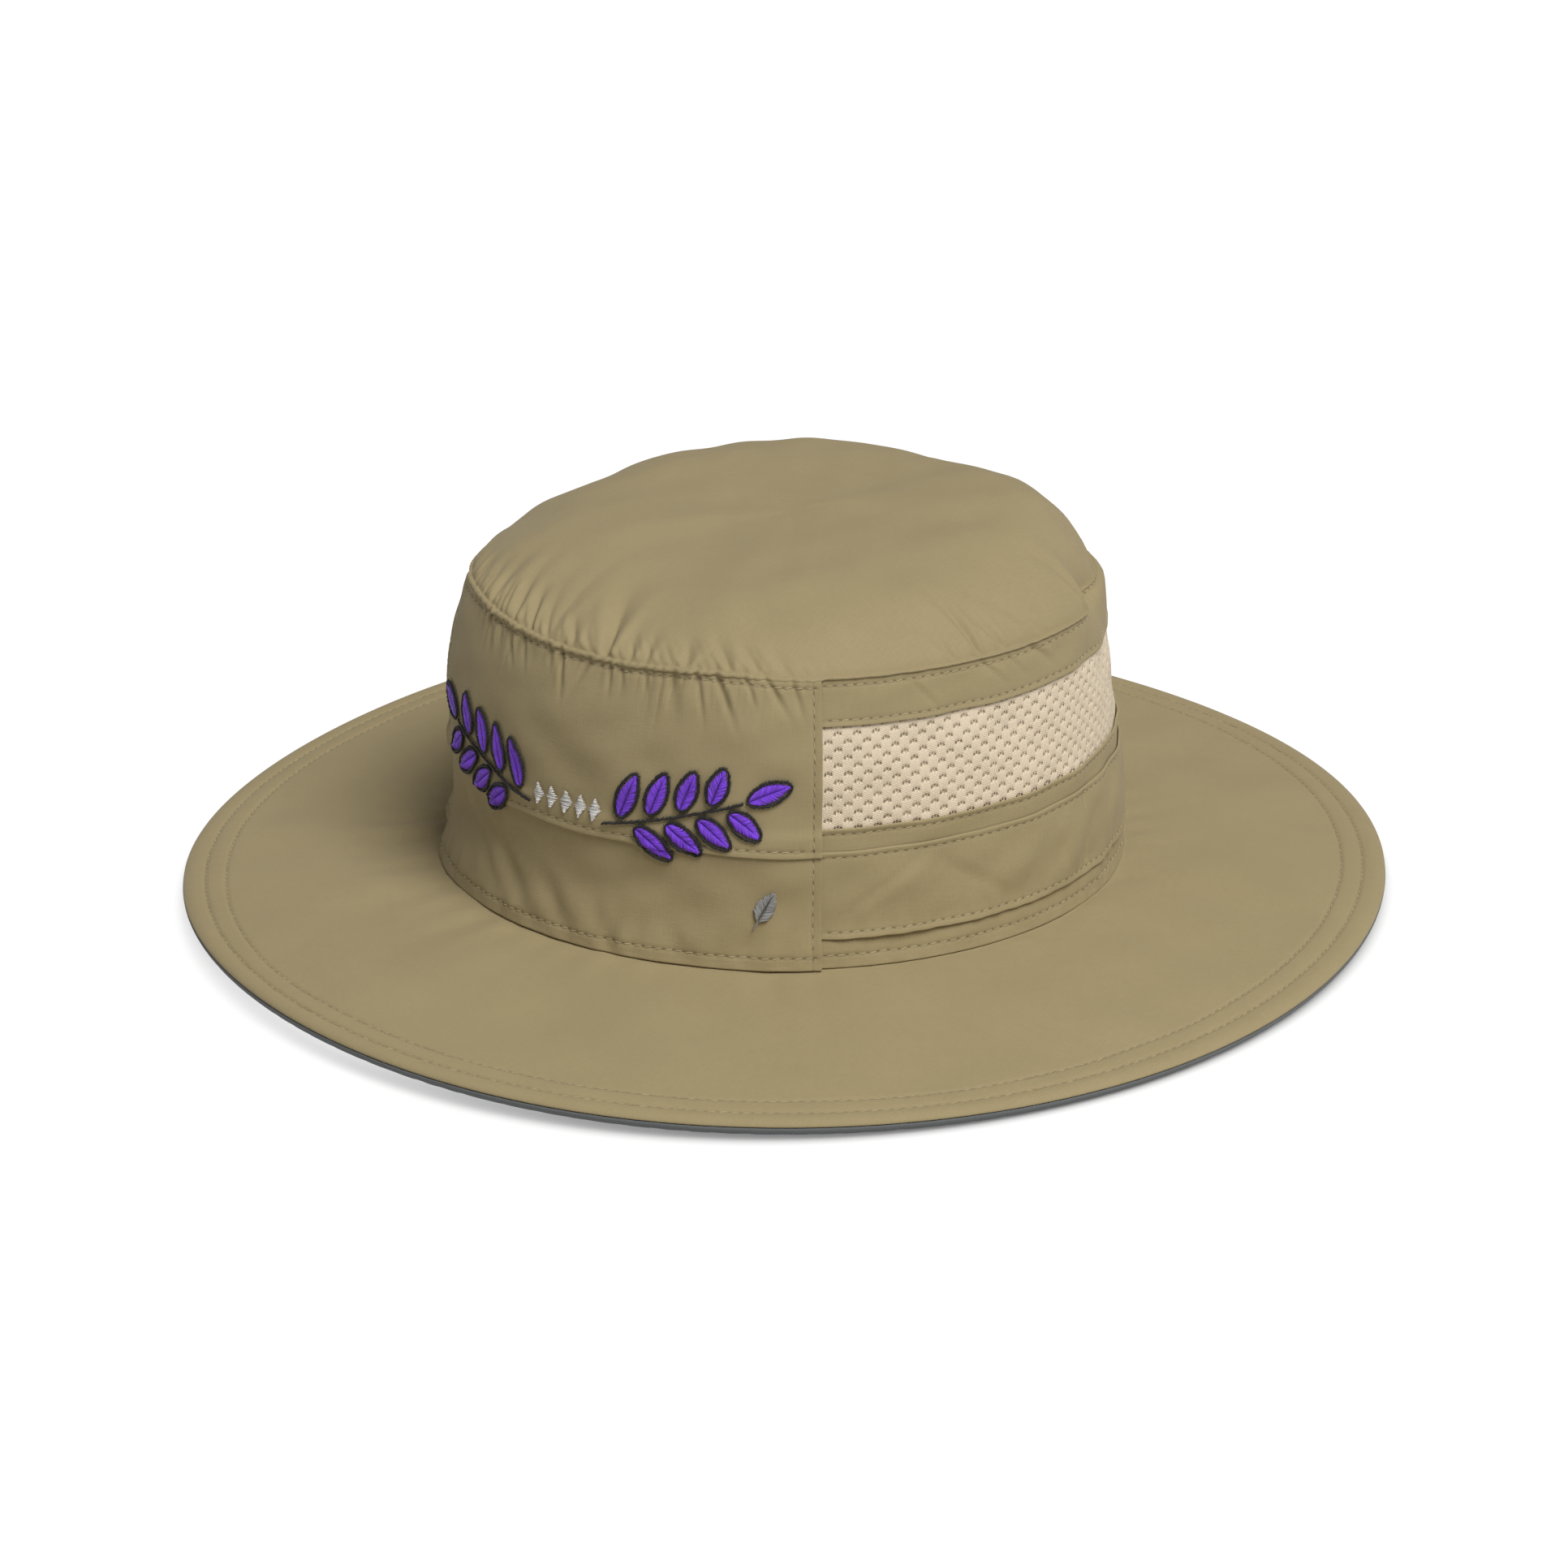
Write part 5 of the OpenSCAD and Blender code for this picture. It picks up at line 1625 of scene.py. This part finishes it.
class HAT_OT_embroidery(HatOperator):
    """Embroiders two leaf sprigs, a row of diamonds and one small leaf, strand by strand"""

    bl_idname = "hat.embroidery"
    bl_label = "Embroidery"

    def make(self, form, colours):
        self.form = form
        draw = np.random.default_rng(97)
        leaves, edges = [], []
        for side in (-1, 1):
            for base, angle, long in self.sprig():
                leaves += self.leaf(base, angle, long, form.leaf_wid, side, draw)
                edges += self.outline(base, angle, long, side, draw)
            path = [self.stem(d) * (side, 1) for d in np.linspace(-2, 3 + LEAF_PAIRS * form.leaf_step, 90)]
            edges += self.border(np.array(path), 0.95, draw)
        seeds = []
        for i in range(SEEDS):
            x = (i - SEEDS // 2) * SEED_STEP
            for y in np.arange(-2.8, 2.81, 0.4):
                half = 0.15 + 0.62 * (SEED_HALF - abs(y))
                ends = np.array([[x - half, SPRIG_Y + 2.5 + y], [x + half, SPRIG_Y + 2.5 + y + 0.25]])
                seeds.append(ends + draw.normal(0, 0.07, (2, 2)))
        foot, angle = np.array([56.0, 11.0]), 62
        way = np.array([cos(angle), sin(angle)])
        small = self.leaf(foot + 2.6 * way, angle, 9.6, 5.0, 1, draw)
        small += [
            np.stack([foot + way * x, foot + way * (x + 2.2)]) + draw.normal(0, 0.05, (2, 2))
            for x in (0, 0.5, 0.9)
        ]
        c = colours
        for name, strands, lift, rise, seed, silk, thread, node in (
            ("sprig_leaves", leaves, 0.55, 0.35, 5, ("purple_silk", c.purple, 0.55, 0.22), "purple", "leaves"),
            ("sprig_outlines", edges, 0.5, 0.5, 6, ("black_silk", c.black, 0.5, 0.3), "black", "outlines"),
            ("white_diamonds", seeds, 0.55, 0.45, 7, ("white_silk", c.white, 0.5, 0.12), "white", "seeds"),
            ("small_leaf", small, 0.55, 0.4, 8, ("silver_silk", c.grey, 0.6, 0.2), "grey", "small_leaf"),
        ):
            self.lay(name, strands, lift, rise, seed, spun(*silk), thread + "_thread", "embroidery_" + node)

    def stem(self, d):
        return np.array([SPRIG_X + d * cos(SPRIG_LEAN), SPRIG_Y + d * sin(SPRIG_LEAN) + 3 * (d / 40) ** 2])

    def sprig(self):
        """Base, direction and length of each leaf."""
        form, found, k = self.form, [], SPRIG_LEAN + 7
        for i in range(LEAF_PAIRS):
            for up in (-1, 1):
                d = 3 + i * form.leaf_step + (0 if up > 0 else form.leaf_step / 2)
                base = self.stem(d) + LEAF_GAP * np.array([cos(k + up * 90), sin(k + up * 90)])
                found.append((base, k + up * 52, form.leaf_len * (1 - 0.06 * i)))
        found.append((self.stem(3 + LEAF_PAIRS * form.leaf_step + 1.2), SPRIG_LEAN + 12, form.leaf_len))
        return found

    def half_width(self, u, wide):
        return 0.12 + wide / 2 * np.sin(math.pi * ramp(u)) ** 0.8 * (1.15 - 0.3 * u)

    def leaf(self, base, angle, long, wide, side, draw):
        """Strands from the leaf's vein out to both edges, slanting forward."""
        f, g = np.array([cos(angle), sin(angle)]), np.array([-sin(angle), cos(angle)])
        strands, step = [], self.form.strand_d * 0.80
        for e in (-1, 1):
            for x in np.arange(0.3, long - 0.5, step):
                reach = min(x + 1.9, long - 0.25)
                w = self.half_width(reach / long, wide)
                if w < 0.3:
                    continue
                a = base + f * x + g * e * 0.05
                b = base + f * (reach + draw.normal(0, 0.08)) + g * e * (w + draw.normal(0, 0.1))
                strands.append(np.stack([a, b]) * (side, 1))
        return strands

    def outline(self, base, angle, long, side, draw):
        f, g = np.array([cos(angle), sin(angle)]), np.array([-sin(angle), cos(angle)])
        w = np.linspace(0, 1, 80)
        u = np.where(w < 0.5, 2 * w, 2 - 2 * w)
        e = np.where(w < 0.5, 1, -1)
        off = (
            (self.half_width(u, self.form.leaf_wid) + 0.6)
            * np.minimum(1, np.minimum(u / 0.07, 1) * 1.0 + 0.2) * np.minimum(1, (1 - u) / 0.06 + 0.02)
        )
        path = base + np.outer(u * (long + 0.5), f) + np.outer(e * off, g)
        return self.border(path * (side, 1), 1.0, draw)

    def border(self, path, wide, draw):
        """Short ragged strands across a line."""
        step = np.linalg.norm(np.diff(path, axis=0), axis=1)
        along = np.concatenate([[0], np.cumsum(step)])
        at = np.arange(0.1, along[-1], 0.36)
        p = np.stack([np.interp(at, along, path[:, k]) for k in (0, 1)], -1)
        q = np.stack(
            [np.interp(at + 0.2, along, path[:, k]) - np.interp(at - 0.2, along, path[:, k]) for k in (0, 1)],
            -1,
        )
        q /= np.linalg.norm(q, axis=1, keepdims=True) + 1e-9
        n = np.stack([-q[:, 1], q[:, 0]], -1)
        slant = n * 0.8 + q * 0.6
        half = wide / 2 * (1 + draw.normal(0, 0.16, (len(at), 1)))
        shift = n * draw.normal(0, 0.07, (len(at), 1))
        return list(np.stack([p + shift - slant * half, p + shift + slant * half], 1))

    def lay(self, name, strands, lift, rise, seed, material, slot, node):
        """Lays each strand as a low arch of thread over the cloth."""
        form, draw = self.form, np.random.default_rng(seed)
        ends = np.array(strands)
        n, m, k = len(ends), 6, 5
        u = np.linspace(0, 1, m)
        xy = ends[:, None, 0] * (1 - u)[None, :, None] + ends[:, None, 1] * u[None, :, None]
        s, t = form.panel(xy[..., 0], xy[..., 1])
        high = lift + draw.uniform(-0.08, 0.08, (n, 1)) + rise * np.sin(math.pi * u)[None, :] ** 0.6
        centre = form.wall(s, form.front_face(s, t) + high, t)
        out = form.outward(t)
        way = np.gradient(centre, axis=1)
        way /= np.linalg.norm(way, axis=-1, keepdims=True)
        side = np.cross(out, way)
        side /= np.linalg.norm(side, axis=-1, keepdims=True)
        up = np.cross(way, side)
        wide = form.strand_d / 2 * np.array([0.45, 0.9, 1, 1, 0.9, 0.45]) * draw.uniform(0.9, 1.12, (n, 1))
        turn = np.arange(k) * 2 * math.pi / k
        ring = (
            centre[:, :, None] + side[:, :, None] * (np.cos(turn) * wide[..., None])[..., None]
            + up[:, :, None] * (np.sin(turn) * wide[..., None] * 0.8)[..., None]
        )
        faces = [
            [i * k + j, i * k + (j + 1) % k, (i + 1) * k + (j + 1) % k, (i + 1) * k + j]
            for i in range(m - 1)
            for j in range(k)
        ]
        caps = [list(range(k))[::-1], [(m - 1) * k + j for j in range(k)]]
        all_faces = [[b * m * k + v for v in f] for b in range(n) for f in faces + caps]
        reach = np.linalg.norm(ends[:, 1] - ends[:, 0], axis=1)
        uv = (
            np.stack(
                np.broadcast_arrays((u[None, :] * reach[:, None])[..., None], turn[None, None, :] / 6), -1
            ).reshape(-1, 2)
            * MM
        )
        tone = np.repeat(draw.uniform(0, 1, n), m * k)
        obj = finish_mesh(quads(ring.reshape(-1, 3), all_faces, name, uv, tone), merge=0)
        return dress(obj, material, slot, node)


WARM = (1.0, 0.985, 0.96)  # colour of the lamps and of the light from all round
CONTACT = 0.0075  # how far from the hat the floor's glow is darkened as a painted contact shadow, in metres
# Lamps: name, angle from the front, angle up, width of the source, strength
LAMPS = (("key", 73, 56, 32, 2.6), ("rim", 200, 50, 40, 0.1))
CAMERA_FACING, CAMERA_AWAY = (37.0, 22.7), 1.556  # angles from the front and up, and distance in metres
CAMERA_AIM = (-0.00549, 0.00589, 0.02416)


def facing(azimuth, elevation):
    """The direction from the hat towards a lamp or the camera."""
    return Vector((sin(azimuth) * cos(elevation), -cos(azimuth) * cos(elevation), sin(elevation)))


class HAT_OT_stage(HatOperator):
    """Sets the floor, the soft lights, the pale surroundings and the camera"""

    bl_idname = "hat.stage"
    bl_label = "Stage"

    def make(self, form, colours):
        scene = bpy.context.scene
        scene.view_settings.view_transform = "Standard"
        alone()
        bpy.ops.mesh.primitive_plane_add(size=14, location=(0, 0, 0))
        floor = bpy.context.object
        floor.name = "floor"
        f = Finish("pale_floor")
        path = f.node("ShaderNodeLightPath", {}, {})
        seen = path
        for key in ("Is Glossy Ray", "Is Transmission Ray"):
            seen = seen + Tone(f, path.socket.node.outputs[key])
        bare = f.node("ShaderNodeBsdfDiffuse", {}, {"Color": rgba(colours.floor)})
        # painted contact shadow: the floor's glow to the camera darkens near the hat by ambient occlusion
        near = f.node("ShaderNodeAmbientOcclusion", {"samples": 12}, {"Distance": CONTACT}, "AO")
        glow = (near * 1.3 - 0.02).clip() * 0.80 + 0.10
        pale = f.node("ShaderNodeEmission", {}, {"Color": f.grey(glow), "Strength": 1.0})
        faint = f.node("ShaderNodeBsdfDiffuse", {}, {"Color": (0.16, 0.16, 0.16, 1)})
        shown = f.node("ShaderNodeAddShader", {}, {0: faint, 1: pale})
        both = f.node("ShaderNodeMixShader", {}, {0: seen.clip(), 1: bare, 2: shown})
        f.node("ShaderNodeOutputMaterial", {}, {0: both})
        floor.data.materials.append(f.material)

        world = bpy.data.worlds.new("pale_surround")
        scene.world = world
        world.use_nodes = True
        nodes, links = world.node_tree.nodes, world.node_tree.links
        nodes.clear()
        path = nodes.new("ShaderNodeLightPath")
        kinds = ("Background", "Background", "MixShader", "OutputWorld")
        soft, clear, mix, end = (nodes.new("ShaderNode" + kind) for kind in kinds)
        soft.inputs["Color"].default_value = rgba(WARM)
        soft.inputs["Strength"].default_value = 0.18
        clear.inputs["Color"].default_value = (1, 1, 1, 1)
        links.new(path.outputs["Is Camera Ray"], mix.inputs[0])
        links.new(soft.outputs[0], mix.inputs[1])
        links.new(clear.outputs[0], mix.inputs[2])
        links.new(mix.outputs[0], end.inputs[0])

        for name, azimuth, elevation, softness, strength in LAMPS:
            lamp = bpy.data.lights.new(name, "SUN")
            lamp.angle, lamp.energy, lamp.color = math.radians(softness), strength, WARM
            obj = bpy.data.objects.new(name, lamp)
            scene.collection.objects.link(obj)
            way = facing(azimuth, elevation)
            obj.location = way
            obj.rotation_euler = way.to_track_quat("Z", "Y").to_euler()

        back = facing(*CAMERA_FACING)
        camera = bpy.data.cameras.new("camera")
        camera.lens, camera.sensor_width = 124.4, 36.0
        camera.clip_start, camera.clip_end = 0.05, 50
        obj = bpy.data.objects.new("camera", camera)
        scene.collection.objects.link(obj)
        obj.location = Vector(CAMERA_AIM) + back * CAMERA_AWAY
        obj.rotation_euler = (-back).to_track_quat("-Z", "Y").to_euler()
        scene.camera = obj


OPERATORS = (
    HAT_OT_crown_top, HAT_OT_front_panels, HAT_OT_side_plies, HAT_OT_cord_band, HAT_OT_vent, HAT_OT_brim,
    HAT_OT_sweatband, HAT_OT_inner_trim, HAT_OT_stitches, HAT_OT_embroidery, HAT_OT_stage,
)


class HAT_PT_panel(bpy.types.Panel):
    """The steps of the hat, in order"""

    bl_label = "Boonie Hat"
    bl_idname = "HAT_PT_panel"
    bl_space_type = "VIEW_3D"
    bl_region_type = "UI"
    bl_category = "Boonie Hat"

    def draw(self, context):
        for operator in OPERATORS:
            self.layout.operator(operator.bl_idname)
        for group in (context.scene.hat_sizes, context.scene.hat_colours):
            box = self.layout.box()
            for key in type(group).__annotations__:
                box.prop(group, key)


CLASSES = (HatSizes, HatColours, *OPERATORS, HAT_PT_panel)


def register():
    for cls in CLASSES:
        bpy.utils.register_class(cls)
    bpy.types.Scene.hat_sizes = bpy.props.PointerProperty(type=HatSizes)
    bpy.types.Scene.hat_colours = bpy.props.PointerProperty(type=HatColours)


def unregister():
    del bpy.types.Scene.hat_sizes, bpy.types.Scene.hat_colours
    for cls in reversed(CLASSES):
        bpy.utils.unregister_class(cls)


def main():
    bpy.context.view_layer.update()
    register()
    for operator in OPERATORS:
        group, name = operator.bl_idname.split(".")
        getattr(getattr(bpy.ops, group), name)()


if __name__ == "__main__":
    main()
